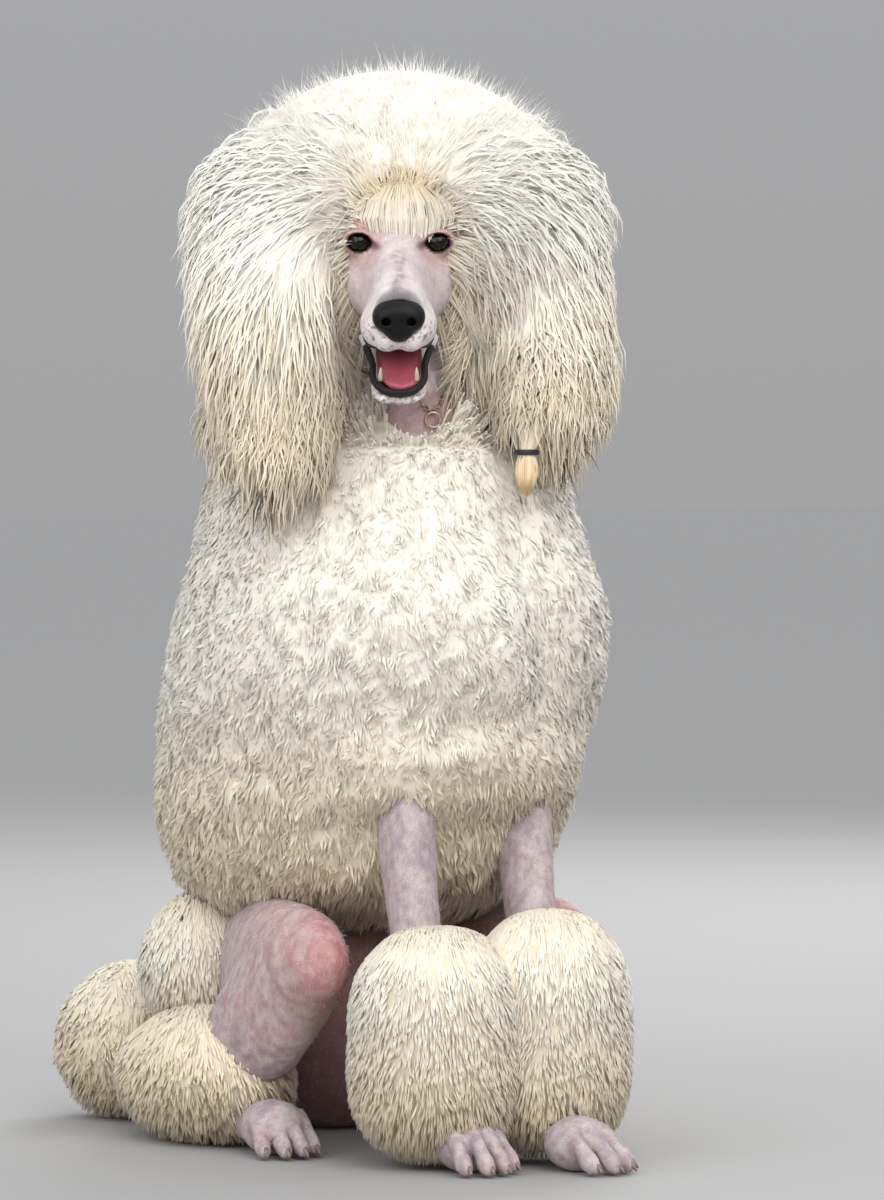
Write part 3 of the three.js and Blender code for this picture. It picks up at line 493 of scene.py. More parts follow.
def jacket_core():
    def section(x, y, z):
        wide, deep, middle = jacket_section(z, JACKET_DEPTH * CORE_SHARE + 2)
        k = np.sqrt((x / wide) ** 2 + ((y - middle) / deep) ** 2)
        return (k - 1) * np.minimum(wide, deep)

    return stacked(section, 214, 566, (-150, 60, 200), (150, 450, 580))


def jacket_wool():
    def section(x, y, z):
        wide, deep, middle = jacket_section(z, 0)
        angle = np.arctan2(x / wide, -(y - middle) / deep)
        surface = jacket_outer(angle, z + 0 * angle, UNDERCOAT)
        return np.hypot(x, y - middle) - np.hypot(surface[..., 0], surface[..., 1] - middle)

    return stacked(section, 208, 566, (-180, 30, 190), (180, 480, 570))


def neck_form(inset, share, z_low, z_high, low, high):
    def section(x, y, z):
        cx, cy, radius = columns_at(NECK, z)
        angle = np.arctan2(x - cx, -(y - cy)) - neck_heading(z)
        return np.hypot(x - cx, y - cy) - (radius - inset + mane_reach(angle, z, share))

    return stacked(section, z_low, z_high, low, high)


def barrel_form(barrel, share, stretch, trim_low, trim_high):
    """A bracelet drawn in to a share of its reach, and its profile in to a stretch of its height."""
    (x, y), r = barrel["at"], barrel["radius"]
    middle = (barrel["low"] + barrel["high"]) / 2
    low, high = barrel["low"] + trim_low, barrel["high"] - trim_high

    def section(px, py, z):
        edge = barrel_point(barrel, np.zeros_like(z), middle + (z - middle) / stretch, share)
        return np.hypot(px - x, py - y) - (y - edge[..., 1])

    return stacked(section, low, high, (x - r, y - r, low), (x + r, y + r, high))


# The head. Sections of the skull with its muzzle: forward, top, bottom, half width, top's share.
SKULL = [
    (-124, 6, -34, 20, 1.0), (-112, 34, -54, 36, 0.95), (-80, 54, -70, 47, 0.92),
    (-50, 58, -76, 49, 0.88), (-22, 52, -76, 47, 0.88), (-2, 38, -73, 43, 0.88),
    (12, 20, -71, 38, 0.8), (26, 7, -70, 34, 0.7), (48, -4, -69, 31, 0.62),
    (72, -12, -69, 28, 0.64), (92, -18, -67, 26, 0.7), (107, -24, -64, 21, 0.78),
]
# Sections of the lower jaw, open: forward, top, bottom and half width.
JAW = [
    (-46, -62, -92, 29), (-10, -72, -101, 27), (25, -84, -107, 24),
    (50, -94, -112, 22), (70, -103, -115, 21), (84, -108, -115, 15),
]
EYE = {"left": 31, "forward": 7, "up": 2.5, "radius": 11}
# The edges of the lips on one side: left, forward and up.
LOWER_LIP = [
    (31, 14, -66), (29, 25, -72), (25, 38, -79), (20.5, 58, -88),
    (20.5, 70, -95.5), (16.5, 79, -101), (9, 84, -104), (0, 85.5, -105),
]
UPPER_LIP = [(29, 34, -66), (26, 52, -69.5), (22, 76, -69.5), (14, 98, -67)]
MOUTH_BED = [(0, -14, -66, 17, 9), (0, 22, -76, 19, 11), (0, 50, -90, 17, 10), (0, 74, -102, 14, 7)]
# Cheeks, brows and the fullness of the lips: left, forward, up, radii and blend.
CHEEKS = [
    (31, -20, -32, (15, 34, 26), 12), (26, 5, 18, (13, 9, 6.5), 8),
    (16, 76, -53, (14, 32, 15.5), 8), (9, 101, -60, (9, 9, 9), 6),
]
BRIDGE = [(0, 20, -10, 7, 6), (0, 60, -20, 6, 6), (0, 98, -28, 8, 6)]
THROAT = tube([(*head_point(0, -62, -70), 42, 40), (-20, 176, 610, 52, 46), (-4, 190, 560, 62, 60)])


def both_sides(route):
    return [(-a, b, c) for a, b, c in route if a] + route[::-1]


def lip_form(route, thick):
    return head_tube([(*p, thick, thick) for p in both_sides(route)], 2)


def eye_forms(field, side):
    """A socket with its lids round the eyeball, and the slit between them."""
    left, forward, up = EYE["left"], EYE["forward"], EYE["up"]
    field.cut(head_ellipsoid(side * 33, 21, up - 1, (13, 9, 10)), 6)
    field.add(head_ellipsoid(side * left, forward, up, (13.2, 13.2, 13.0)), 3)
    lid = [(43, 8, 2, 2), (35, 18.5, 8.5, 2), (26, 19.5, 7, 2), (19, 16, 0, 1.6)]
    field.add(head_tube([(side * a, b, up + c, r, r) for a, b, c, r in lid]), 3)
    field.cut(head_ellipsoid(side * (left + 0.8), 21, up, (10.6, 10, 7.9)), 1.2)
    field.cut(head_ellipsoid(side * (left - 9), 19, up - 1.4, (3.4, 5, 2.2)), 1.2)
    field.cut(head_ellipsoid(side * left, forward, up, (11.3, 11.3, 11.3)), 0.6)


def head_forms(field):
    field.add(head_loft(SKULL, 2.3), 4)
    for side in SIDES.values():
        for left, forward, up, radii, blend in CHEEKS:
            field.add(head_ellipsoid(side * left, forward, up, radii), blend)
    field.add(head_tube(BRIDGE), 10)
    field.add(head_loft(JAW, 2.1), 3)
    field.add(lip_form(LOWER_LIP[1:], 3.0), 4)
    field.cut(head_tube(MOUTH_BED), 2.5)
    for side in SIDES.values():
        eye_forms(field, side)
    field.cut(head_ellipsoid(0, 110, -42, (20, 9, 15)), 1.5)


# Legs.
def foot_frame(leg):
    """What turns left, forward and up of a foot into a place, and the foot's side."""
    angle = math.radians(leg["turn"])
    c, s = math.cos(angle), math.sin(angle)
    x, y = leg["paw"]

    def at(left, forward, up):
        return (x + left * c + forward * s, y + left * s - forward * c, up)

    return at, (c, s, 0)


# Along a toe: share of its distance from the middle, place ahead of it, height, radii.
TOE_ROWS = [
    (0.7, -24, 27, 5.4, 8), (0.93, -8, 29, 6.4, 8.5), (1.04, 3, 20, 5.2, 6.5),
    (1.08, 11, 11, 6.4, 8.6), (1.1, 17, 7, 5, 5.5),
]


def paw_forms(field, leg):
    at, side = foot_frame(leg)
    c, s, _ = side
    field.add(ellipsoid(at(0, -14, 22), (26, 27, 22), (side, (-s, c, 0), (0, 0, 1))), 6)
    for left, forward in TOES:
        toe = [(*at(left * k, forward + f, up), a, b) for k, f, up, a, b in TOE_ROWS]
        field.add(tube(toe, 2, side), 1.0)


def thigh_rows(leg):
    """Rows of the thigh, down to the kneecap, and of the shank."""
    hip, knee, hock = (np.array(leg[k], float) for k in ("hip", "knee", "hock"))
    out = math.copysign(1, hip[0])
    haunch = lerp(hip, knee, 0.5) + (out * 8, 0, -10)
    calf = lerp(knee, hock, 0.4) + (0, 4, -10)
    patella = knee + (0, -28, 2)
    thigh = [(*hip, 44, 66), (*haunch, 40, 66), (*knee, 32, 42), (*patella, 16, 20)]
    return thigh, [(*knee, 28, 34), (*calf, 32, 50), (*hock, 20, 30)]


def hindleg_forms(field, leg):
    for rows in thigh_rows(leg):
        field.add(tube(rows), 10)
    hock, paw = np.array(leg["hock"], float), np.array([*leg["paw"], 24.0])
    instep = lerp(hock, paw, 0.5) + (0, 0, -14)
    field.add(tube([(*hock, 18, 24), (*instep, 17, 19), (*paw, 20, 17)]), 8)


# The skin: one field on a grid that is finest at the head and feet.
def fine_axis(low, high, coarse, stretches):
    """Grid stops from low to high: a fine step inside each stretch, a coarse one elsewhere."""
    stops = [low]
    while stops[-1] < high:
        steps = [fine for a, b, fine in stretches if a <= stops[-1] < b]
        stops.append(stops[-1] + (steps[-1] if steps else coarse))
    return np.array(stops)


# The hollow that the face looks out of: rows in the head's frame.
FACE_HOLLOW = [
    (0, -34, -60, 40, 50), (0, 0, -38, 58, 86), (0, 60, -48, 68, 100), (0, 140, -58, 84, 112),
]


def skin_field():
    xs = fine_axis(-215, 215, 4.8, [(-112, 2, 2.0), (2, 60, 3.0)])
    ys = fine_axis(-85, 545, 5.0, [(-85, 30, 2.6), (30, 130, 1.9), (130, 180, 3.2)])
    zs = fine_axis(-2, 830, 5.0, [(-2, 44, 2.4), (600, 790, 1.9)])
    field = Field(xs, ys, zs)
    field.add(jacket_core(), 4)
    field.add(neck_form(1, CORE_SHARE - 0.05, 545, 688, (-125, 80, 535), (125, 330, 700)), 12)
    field.add(round_form(RUMP), 8)
    for side in SIDES:
        hindleg_forms(field, HINDLEGS[side])
        field.add(tube(FORELEGS[side]["limb"]), 10)
        field.add(barrel_form(BRACELETS[side], BARREL_CORE, 1, 16, 10), 6)
        for form in (ROSETTES[side], HOCKS[side]):
            field.add(round_form(form, ROUND_CORE), 6)
        for leg in (FORELEGS[side], HINDLEGS[side]):
            paw_forms(field, leg)
    field.add(tube(TAIL), 10)
    field.add(round_form(POMPON, ROUND_CORE), 6)
    field.add(head_ellipsoid(*TOPKNOT_MIDDLE, TOPKNOT_RADII * TOPKNOT_CORE), 6)
    for stations in EARS.values():
        rows = [(*r[:3], r[3] * 0.8, r[4] * 0.8) for r in stations]
        field.add(tube(rows, side=HEAD_LEFT), 8)
    field.cut(head_tube(FACE_HOLLOW), 8)
    field.add(THROAT, 14)
    head_forms(field)
    field.d = np.maximum(field.d, -zs[None, None, :].astype(np.float32))
    return field


def reach_to(form, points, low, high):
    """A share of 1 inside a form's surface, fading to 0 a little beyond it."""
    return smoothstep(form[0](*points.T), high, low)


def shaved_share(points):
    """How far each point lies on the shaved legs and hindquarters."""
    share = np.zeros(len(points))
    for side in SIDES:
        share = np.maximum(share, reach_to(tube(FORELEGS[side]["limb"]), points, 6, 12))
        for rows in thigh_rows(HINDLEGS[side]):
            share = np.maximum(share, reach_to(tube(rows), points, 8, 16))
        for leg in (FORELEGS[side], HINDLEGS[side]):
            near = np.linalg.norm(points[:, :2] - leg["paw"], axis=1)
            share = np.maximum(share, smoothstep(near, 60, 48) * (points[:, 2] < 60))
    rump = reach_to(round_form(RUMP), points, 4, 10)
    return np.maximum(share, rump * smoothstep(points[:, 2], 250, 225))


class Painter:
    """Colours laid over one another on a set of points."""

    def __init__(self, points, colour):
        self.points = points
        self.tints = np.broadcast_to(colour, points.shape).copy()

    def blend(self, colour, share):
        self.tints = lerp(self.tints, colour, np.clip(share, 0, 1)[:, None])

    def core(self, form, high, low):
        """The colour of wool on the core of a rounded mass of coat: its root colour, with painted
        shade.
        """
        offset = (self.points - np.array(form["centre"])) / np.array(form["radii"])
        self.blend(ROOT_COAT_SHADE, smoothstep(np.linalg.norm(offset, axis=1), high, low))


def paint_legs(paint, side, shaved, grizzle):
    x, y, z = paint.points.T
    kx, ky, kz = HINDLEGS[side]["knee"]
    knee = np.sqrt((x - kx) ** 2 + ((y - ky) * 0.8) ** 2 + (z - kz) ** 2)
    paint.blend(SKIN_PINK, shaved * smoothstep(knee, 120, 40) * 0.7 * (y > 90))
    tip = np.sqrt((x - kx * 0.9) ** 2 + (y - ky + 34) ** 2 + (z - kz - 4) ** 2)
    paint.blend(SKIN_RED, shaved * smoothstep(tip, 56, 14) * 0.7 * (y > 90))
    # Darker skin low between the hind legs: partly the inner skin's own colour, partly painted
    # shade.
    inner = smoothstep(np.abs(x), 84, 60) * smoothstep(z, 200, 170) * (y > 110)
    inner = inner * smoothstep(y, 330, 280)
    paint.blend(SKIN_INNER_SHADE, shaved * inner * 0.8)
    haired = smoothstep(grizzle, -1.4, 1.6) * (1 - inner) * (1 - smoothstep(tip, 62, 40))
    paint.blend(SHORT_HAIR, shaved * haired * 0.42)
    for form in (HOCKS[side], ROSETTES[side]):
        paint.core(form, 0.74, 0.66)
    barrel = BRACELETS[side]
    near = np.linalg.norm(paint.points[:, :2] - barrel["at"], axis=1) / barrel["radius"]
    covered = (near < 0.75) * (z > barrel["low"] + 12) * (z < barrel["high"] - 14)
    paint.blend(ROOT_COAT_SHADE, smoothstep(near, 0.34, 0.42) * covered)


def paint_face(paint, mottling, grizzle):
    left, forward, up = head_local(paint.points).T
    out = np.abs(left)
    on_head = smoothstep(forward, -66, -46) * smoothstep(up, -124, -118) * (paint.points[:, 2] > 580)
    paint.blend(FACE_WHITE, on_head)
    eye = np.sqrt((out - 33) ** 2 + ((up - 6) * 0.9) ** 2 + ((forward - 8) * 0.5) ** 2)
    paint.blend(FACE_PINK, smoothstep(eye, 30, 12) * on_head * 0.6)
    # Pink at the temples beside the puff: partly bare pink skin, partly painted shade.
    temple = smoothstep(up, 6, 24) * smoothstep(np.abs(left - 2), 24, 34)
    paint.blend(FACE_PINK, temple * on_head * 0.9)
    under = np.sqrt((out - 27) ** 2 + (up + 18) ** 2 * 0.6)
    paint.blend(FACE_PINK, smoothstep(under, 20, 6) * on_head * 0.15)
    bridge = smoothstep(np.abs(left - 1 - mottling[:, 2] * 2), 7, 1.5) * (up > -40)
    bridge = bridge * smoothstep(forward, 26, 50) * smoothstep(grizzle, -2.5, 1.0)
    paint.blend(FACE_GREY, bridge * 0.75 * on_head)
    muzzle = smoothstep(forward, 50, 80) * smoothstep(out, 5, 12)
    paint.blend(MUZZLE_WHITE, muzzle * on_head * 0.8)
    pad = np.sqrt(left**2 + (forward - 104) ** 2 + ((up + 38) * 1.05) ** 2)
    paint.blend(FACE_GREY * 0.5, smoothstep(pad, 23, 16) * on_head * 0.8 * (up > -40))
    draw = np.random.default_rng(5)
    speck = (draw.random(len(left)) < 0.16) & (up < -46) & (forward > 66)
    paint.blend(FACE_GREY * 0.55, speck * on_head * 0.8)
    corner = np.hypot((out - 21) / 7, (up - 1) / 3.4)
    paint.blend(EYE_CORNER, smoothstep(corner, 1.4, 0.5) * on_head * (forward > 5) * 0.8)
    rim = np.hypot((out - EYE["left"] - 0.5) / 10.6, (up - EYE["up"]) / 8.4)
    paint.blend(EYE_RIM, smoothstep(rim, 1.1, 1.0) * (forward > 6) * on_head)
    lower = reach_to(lip_form(LOWER_LIP[2:], 2.4), paint.points, 1.4, 2.4)
    paint.blend(LIP_BLACK, lower * on_head)
    # Painted shade inside the mouth, on the bed between the jaws.
    inside = (forward > -30) * smoothstep(up, -60, -66) * (out < 17)
    inside = inside * reach_to(head_tube(MOUTH_BED), paint.points, 2.0, 4.0)
    paint.blend(MOUTH_SHADE, inside * on_head)


def skin_tints(points):
    """The skin's colours by place: shaved skin, throat, face, and the cores under long hair."""
    z = points[:, 2]
    paint = Painter(points, ROOT_COAT_SHADE)
    shaved = shaved_share(points)
    mottling = CURL(points)
    grizzle = FINE_CURL(points)[:, 0] * 0.5 + mottling[:, 1] * 0.4 + SPECKLE(points)[:, 0] * 0.5
    paint.blend(SKIN_LAVENDER, shaved)
    paint.blend(SKIN_PINK, shaved * smoothstep(mottling[:, 0], 0.4, 1.8) * 0.4)
    for side in SIDES:
        paint_legs(paint, side, shaved, grizzle)
    throat = reach_to(THROAT, points, 3, 9) * smoothstep(z, 560, 580)
    throat *= smoothstep((points - np.array([0, 200, 600])) @ HEAD_FORWARD, -10, 12)
    paint.blend(SKIN_THROAT, throat)
    paint.blend(SKIN_PINK, throat * smoothstep(mottling[:, 1], 0.3, 1.8) * 0.25)
    paint_face(paint, mottling, grizzle)
    paint.core(POMPON, 0.72, 0.66)
    local = head_local(points)
    near = np.linalg.norm((local - TOPKNOT_MIDDLE) / TOPKNOT_RADII, axis=1)
    paint.blend(CREAM_COAT, smoothstep(near, 0.5, 0.56) * (local[:, 1] < -36) * (z > 560))
    return paint.tints


def wrinkled(points, normals):
    """Folds of loose skin on the throat and at the bend of each hind leg."""
    x, y, z = points.T
    swirl = WRINKLE(points) * 14
    throat = reach_to(THROAT, points, 3, 9) * smoothstep(z, 568, 590) * smoothstep(z, 672, 652)
    folds = np.sin((x * 0.9 + y * 0.3 + swirl[:, 0] * 1.1) * CIRCLE / 11)
    depth = throat * folds * 1.3
    for leg in HINDLEGS.values():
        bend = np.array(leg["hock"]) + (0, -62, 34)
        creases = np.sin((z * 1.0 - y * 0.5 + swirl[:, 1] * 0.5) * CIRCLE / 13)
        near = np.linalg.norm(points - bend, axis=1)
        depth = depth + smoothstep(near, 62, 26) * creases * 1.5
    return points + normals * depth[:, None]


FLESH = (
    "head", "jaw", "rump", "tail", "thigh_right", "thigh_left", "foreleg_right",
    "foreleg_left", "forepaw_right", "forepaw_left", "hindpaw_right", "hindpaw_left",
)


def skin():
    points, quads = skin_field().surface()
    a, b, c, d = (points[quads[:, k]] for k in range(4))
    across, normals = np.cross(c - a, d - b), np.zeros_like(points)
    for k in range(4):
        np.add.at(normals, quads[:, k], across)
    tints = skin_tints(points)
    return mesh_object("skin", wrinkled(points, unit(normals)), quads, "skin", FLESH, tints)


# The undercoat: dense wool a little below the tips, in which the tufts stand.
THROAT_OPENING = tube([(-4, 176, 618, 34, 44), (-50, 90, 618, 33, 44), (-100, 0, 616, 40, 46)])
# The bare face: half width, half height and middle height of its opening, by forward place.
OPENING = [(-34, 43, 50, -58), (0, 50, 88, -38), (60, 58, 100, -48), (140, 70, 112, -58)]
OPENING_LEFT = 3
# The hair of each ear, from the topknot's side to its ends, and of the neck.
EAR_MASS = {
    "right": [
        (*head_point(-104, -92, 10), 56, 50), (-142, 166, 668, 50, 42),
        (-150, 148, 612, 40, 32), (-154, 142, 566, 24, 16),
    ],
    "left": [
        (*head_point(102, -90, 10), 56, 50), (76, 110, 676, 46, 42),
        (64, 82, 630, 38, 30), (62, 76, 596, 24, 16),
    ],
}
EAR_FORMS = [tube(rows, side=HEAD_LEFT) for rows in EAR_MASS.values()]
# Masses that join the jacket, the neck and the topknot: middle, radii and blend.
SHOULDER_MASSES = [((0, 228, 553), (124, 124, 62), 10), ((-2, 250, 604), (136, 116, 78), 26)]
MANE_MASS = ((-4, 222, 668), (128, 112, 92), 24)


def low_share(points):
    """1 low on the jacket, where the coat is golden, and 0 on the chest. The gold is partly the
    coat's cream and partly painted shade low down.
    """
    return smoothstep(points[:, 2:3], 400, 215)


def undercoat():
    stops = [np.arange(low, high, 6.0) for low, high in ((-206, 206), (-80, 545), (0, 880))]
    field = Field(*stops)
    field.add(jacket_wool(), 4)
    for centre, radii, blend in SHOULDER_MASSES:
        field.add(ellipsoid(centre, radii), blend)
    field.add(neck_form(4, 0.8, 556, 692, (-150, 60, 540), (150, 350, 700)), 14)
    field.add(head_ellipsoid(*TOPKNOT_MIDDLE, TOPKNOT_RADII * TOPKNOT_WOOL), 10)
    field.add(ellipsoid(*MANE_MASS[:2]), MANE_MASS[2])
    for ear in EAR_FORMS:
        field.add(ear, 34)
    opening = [(OPENING_LEFT, f, m, w + 6, h + 6) for f, w, h, m in OPENING]
    field.cut(head_tube(opening), 8)
    field.cut(THROAT_OPENING, 10)
    for barrel in BRACELETS.values():
        field.add(barrel_form(barrel, BARREL_WOOL, BARREL_WOOL, 7, 7), 3)
    for form in (*HOCKS.values(), *ROSETTES.values(), POMPON):
        field.add(round_form(form, ROUND_WOOL), 2)
    points, quads = field.surface()
    # A little darker where the lumps are strong: on the jacket these are its hollows, so it is
    # painted shade there, and elsewhere a random tone. Low down the wool turns golden, partly
    # painted shade.
    lumps = np.abs(BILLOW(points)[:, :1]) + np.abs(SMALL_BILLOW(points)[:, 1:2])
    draw = np.random.default_rng(3)
    shade = 1 - 0.05 * lumps * draw.uniform(0.7, 1.3, (len(points), 1))
    pale = lerp(WHITE_COAT, CREAM_COAT, 0.5)
    tints = lerp(pale, GOLDEN_COAT, low_share(points) * 0.5) * shade
    return mesh_object("undercoat", points, quads, "coat", (), tints)


# Materials.
def principled(name, roughness, **sockets):
    material = bpy.data.materials.new(name)
    material.use_nodes = True
    shader = material.node_tree.nodes["Principled BSDF"]
    shader.inputs["Roughness"].default_value = roughness
    for socket, value in sockets.items():
        shader.inputs[socket.replace("_", " ")].default_value = value
    return material, material.node_tree, shader


def noise(tree, scale, detail, roughness):
    """A noise texture in the piece's own metres."""
    where = tree.nodes.new("ShaderNodeTexCoord")
    node = tree.nodes.new("ShaderNodeTexNoise")
    for socket, value in (("Scale", scale), ("Detail", detail), ("Roughness", roughness)):
        node.inputs[socket].default_value = value
    tree.links.new(where.outputs["Object"], node.inputs["Vector"])
    return node.outputs["Fac"]


def ramp(tree, source, stops):
    node = tree.nodes.new("ShaderNodeValToRGB")
    elements = node.color_ramp.elements
    while len(elements) < len(stops):
        elements.new(0.5)
    for element, (position, colour) in zip(elements, stops):
        element.position = position
        element.color = (*colour, 1)
    tree.links.new(source, node.inputs["Fac"])
    return node.outputs["Color"]


def multiplied(tree, a, b):
    node = tree.nodes.new("ShaderNodeMix")
    node.data_type = "RGBA"
    node.blend_type = "MULTIPLY"
    sockets = {s.name: s for s in node.inputs if s.enabled}
    sockets["Factor"].default_value = 1
    tree.links.new(a, sockets["A"])
    tree.links.new(b, sockets["B"])
    return [s for s in node.outputs if s.enabled][0]


def bump(tree, shader, source, strength, distance, below=None):
    node = tree.nodes.new("ShaderNodeBump")
    node.inputs["Strength"].default_value = strength
    node.inputs["Distance"].default_value = distance
    tree.links.new(source, node.inputs["Height"])
    if below:
        tree.links.new(below.outputs["Normal"], node.inputs["Normal"])
    tree.links.new(node.outputs["Normal"], shader.inputs["Normal"])
    return node


def tinted_material(name, roughness, grains, **sockets):
    """The piece's own Tint, varied by grains of noise: scale, detail, roughness, ramp and bump."""
    material, tree, shader = principled(name, roughness, **sockets)
    tint = tree.nodes.new("ShaderNodeAttribute")
    tint.attribute_name = "Tint"
    colour, below = tint.outputs["Color"], None
    for scale, detail, rough, stops, depth in grains:
        grain = noise(tree, scale, detail, rough)
        colour = multiplied(tree, colour, ramp(tree, grain, stops))
        if depth:
            below = bump(tree, shader, grain, *depth, below)
    tree.links.new(colour, shader.inputs["Base Color"])
    return material


def plain_material(name, colour, roughness, scale, contrast, depth, **sockets):
    """A material of one colour with fine variation and a matching bump."""
    material, tree, shader = principled(name, roughness, **sockets)
    grain = noise(tree, scale, 4, 0.6)
    low, high = (np.clip(np.array(colour) * k, 0, 1) for k in (1 - contrast, 1 + contrast))
    shade = ramp(tree, grain, [(0.35, low), (0.65, high)])
    tree.links.new(shade, shader.inputs["Base Color"])
    bump(tree, shader, grain, 0.4, depth)
    return material


FLECKS = [(0.3, (0.94, 0.93, 0.91)), (0.7, (1, 1, 1))]
MOTTLE = [(0.35, (0.84, 0.8, 0.82)), (0.65, (1.04, 1.02, 1.02))]
STUBBLE = [(0.42, (0.9, 0.88, 0.88)), (0.66, (1.12, 1.12, 1.12))]
MOIST = [(0.35, (0.8, 0.8, 0.8)), (0.65, (1.1, 1.1, 1.1))]
STREAKS = [(0.3, (0.6, 0.6, 0.6)), (0.7, (1.3, 1.2, 1.1))]
MATERIALS = {
    "coat": tinted_material(
        "coat", 0.8, [(260, 3, 0.5, FLECKS, None)],
        Sheen_Weight=0.3, Sheen_Roughness=0.4, Specular_IOR_Level=0.25,
    ),
    "skin": tinted_material(
        "skin", 0.62, [(95, 5, 0.6, MOTTLE, (0.35, 0.002)), (900, 3, 0.6, STUBBLE, (0.5, 0.0008))],
        Specular_IOR_Level=0.35, Subsurface_Weight=0.12, Subsurface_Radius=(0.004, 0.002, 0.0015),
    ),
    "tongue": tinted_material("tongue", 0.32, [(700, 4, 0.6, MOIST, (0.4, 0.0006))]),
    "eye": tinted_material("eye", 0.05, [(900, 4, 0.5, STREAKS, None)], Specular_IOR_Level=0.35),
}
# Plain materials: colour, roughness, the grain's scale, contrast and depth, and other sockets.
for name, settings, sockets in (
    ("nose", ((0.005, 0.005, 0.006), 0.42, 900, 0.5, 0.0008), {"Specular_IOR_Level": 0.2}),
    ("lips", ((0.008, 0.007, 0.008), 0.5, 500, 0.4, 0.0006), {"Specular_IOR_Level": 0.25}),
    ("tooth", ((0.78, 0.74, 0.62), 0.25, 300, 0.1, 0.0002), {}),
    ("claw", ((0.2, 0.14, 0.11), 0.35, 300, 0.35, 0.0004), {}),
    ("collar", ((0.5, 0.42, 0.3), 0.3, 600, 0.3, 0.0002), {"Metallic": 1.0}),
    ("band", ((0.02, 0.02, 0.024), 0.6, 500, 0.3, 0.0004), {}),
):
    MATERIALS[name] = plain_material(name, *settings, **sockets)


# Meshes.
def mesh_object(name, points, faces, material, replaces=(), tints=None, slot=None):
    """A piece from points in millimetres and faces of one size, riding on the still body."""
    mesh = bpy.data.meshes.new(name)
    faces = np.asarray(faces)
    mesh.vertices.add(len(points))
    mesh.vertices.foreach_set("co", metres(points).astype(np.float32).ravel())
    mesh.loops.add(faces.size)
    mesh.loops.foreach_set("vertex_index", faces.astype(np.int32).ravel())
    mesh.polygons.add(len(faces))
    starts = np.arange(0, faces.size, faces.shape[1], dtype=np.int32)
    mesh.polygons.foreach_set("loop_start", starts)
    mesh.polygons.foreach_set("use_smooth", np.ones(len(faces), bool))
    mesh.update(calc_edges=True)
    if tints is not None:
        colours = np.concatenate([tints, np.ones((len(tints), 1))], 1).astype(np.float32)
        layer = mesh.color_attributes.new("Tint", "FLOAT_COLOR", "POINT")
        layer.data.foreach_set("color", colours.ravel())
    mesh.materials.append(MATERIALS[material])
    piece = bpy.data.objects.new(name, mesh)
    bpy.context.scene.collection.objects.link(piece)
    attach(piece, "root")
    slot or material
    if replaces:
        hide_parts(*replaces)
    return piece


def surface_of(piece):
    """A piece's vertices and normals, in the dog's frame."""
    points, normals = np.zeros((2, len(piece.data.vertices) * 3))
    piece.data.vertices.foreach_get("co", points)
    piece.data.vertices.foreach_get("normal", normals)
    return points.reshape(-1, 3) / MM + FOOTPRINT_CENTRE, normals.reshape(-1, 3)


TUFT_CORNERS = ((0, 1.0), (-0.87, -0.5), (0.87, -0.5))
TUFT_FLAT = 0.6
BAKE_CELL = (0.0012, 0.003)
FLOOR_GAP = 0.6


def tuft_faces(rings):
    """The triangles of one three-sided tuft that ends in a point."""
    last, tip = (rings - 1) * 3, rings * 3
    faces = [(0, 1, 2)]
    for ring in range(rings - 1):
        for k in range(3):
            a, b = ring * 3 + k, ring * 3 + (k + 1) % 3
            faces += [(a, a + 3, b + 3), (a, b + 3, b)]
    return np.array(faces + [(last + k, tip, last + (k + 1) % 3) for k in range(3)])


def strands(
    name, paths, draw, tints, uv, width, taper, outward, softness, replaces=(), kept=None
):
    """Tapered tufts as closed three-sided solids. paths is tufts x stops x 3."""
    widths = draw.uniform(*width, (len(paths), 1)) * np.array(taper)
    uv = np.clip(np.stack(uv, -1), 0, 1) * 0.97 + 0.01
    if kept is not None:
        paths, widths, uv, outward = paths[kept], widths[kept], uv[kept], outward[kept]
        tints = [each[kept] for each in tints]
    count, stops, _ = paths.shape
    rings = stops - 1
    per = rings * 3 + 1
    along = np.gradient(paths, axis=1)
    spin = unit(np.random.default_rng(count).normal(size=(count, 1, 3)))
    across = unit(np.cross(along, np.broadcast_to(spin, along.shape)))
    face = unit(np.cross(across, along))
    points, normals, tuft_tints = np.zeros((3, count, per, 3))
    for ring in range(rings):
        w = widths[:, ring, None] / 2
        for k, (a, f) in enumerate(TUFT_CORNERS):
            offset = across[:, ring] * a * w + face[:, ring] * f * w * TUFT_FLAT
            points[:, ring * 3 + k] = paths[:, ring] + offset
            normals[:, ring * 3 + k] = unit(offset)
            tuft_tints[:, ring * 3 + k] = lerp(tints[0], tints[1], ring / rings)
    points[:, -1] = paths[:, -1]
    normals[:, -1] = unit(along[:, -1])
    tuft_tints[:, -1] = tints[1]
    points[..., 2] = np.maximum(points[..., 2], FLOOR_GAP)
    faces = (np.arange(count)[:, None, None] * per + tuft_faces(rings)[None]).reshape(-1, 3)
    colours = tuft_tints.reshape(-1, 3)
    mesh = mesh_object(name, points.reshape(-1, 3), faces, "coat", replaces, colours).data
    soft = unit(lerp(normals, unit(outward)[:, None, :], softness))
    mesh.normals_split_custom_set_from_vertices(soft.reshape(-1, 3))
    place = np.arange(per)
    ring_of = np.minimum(place // 3, rings)
    patch = np.stack([(place % 3) * BAKE_CELL[0], ring_of * BAKE_CELL[1] / rings], -1)
    corner_uv = (uv[:, None, :] + patch[None]).reshape(-1, 2)[faces.ravel()]
    layer = mesh.uv_layers.new(name="OFBake")
    layer.data.foreach_set("uv", corner_uv.astype(np.float32).ravel())


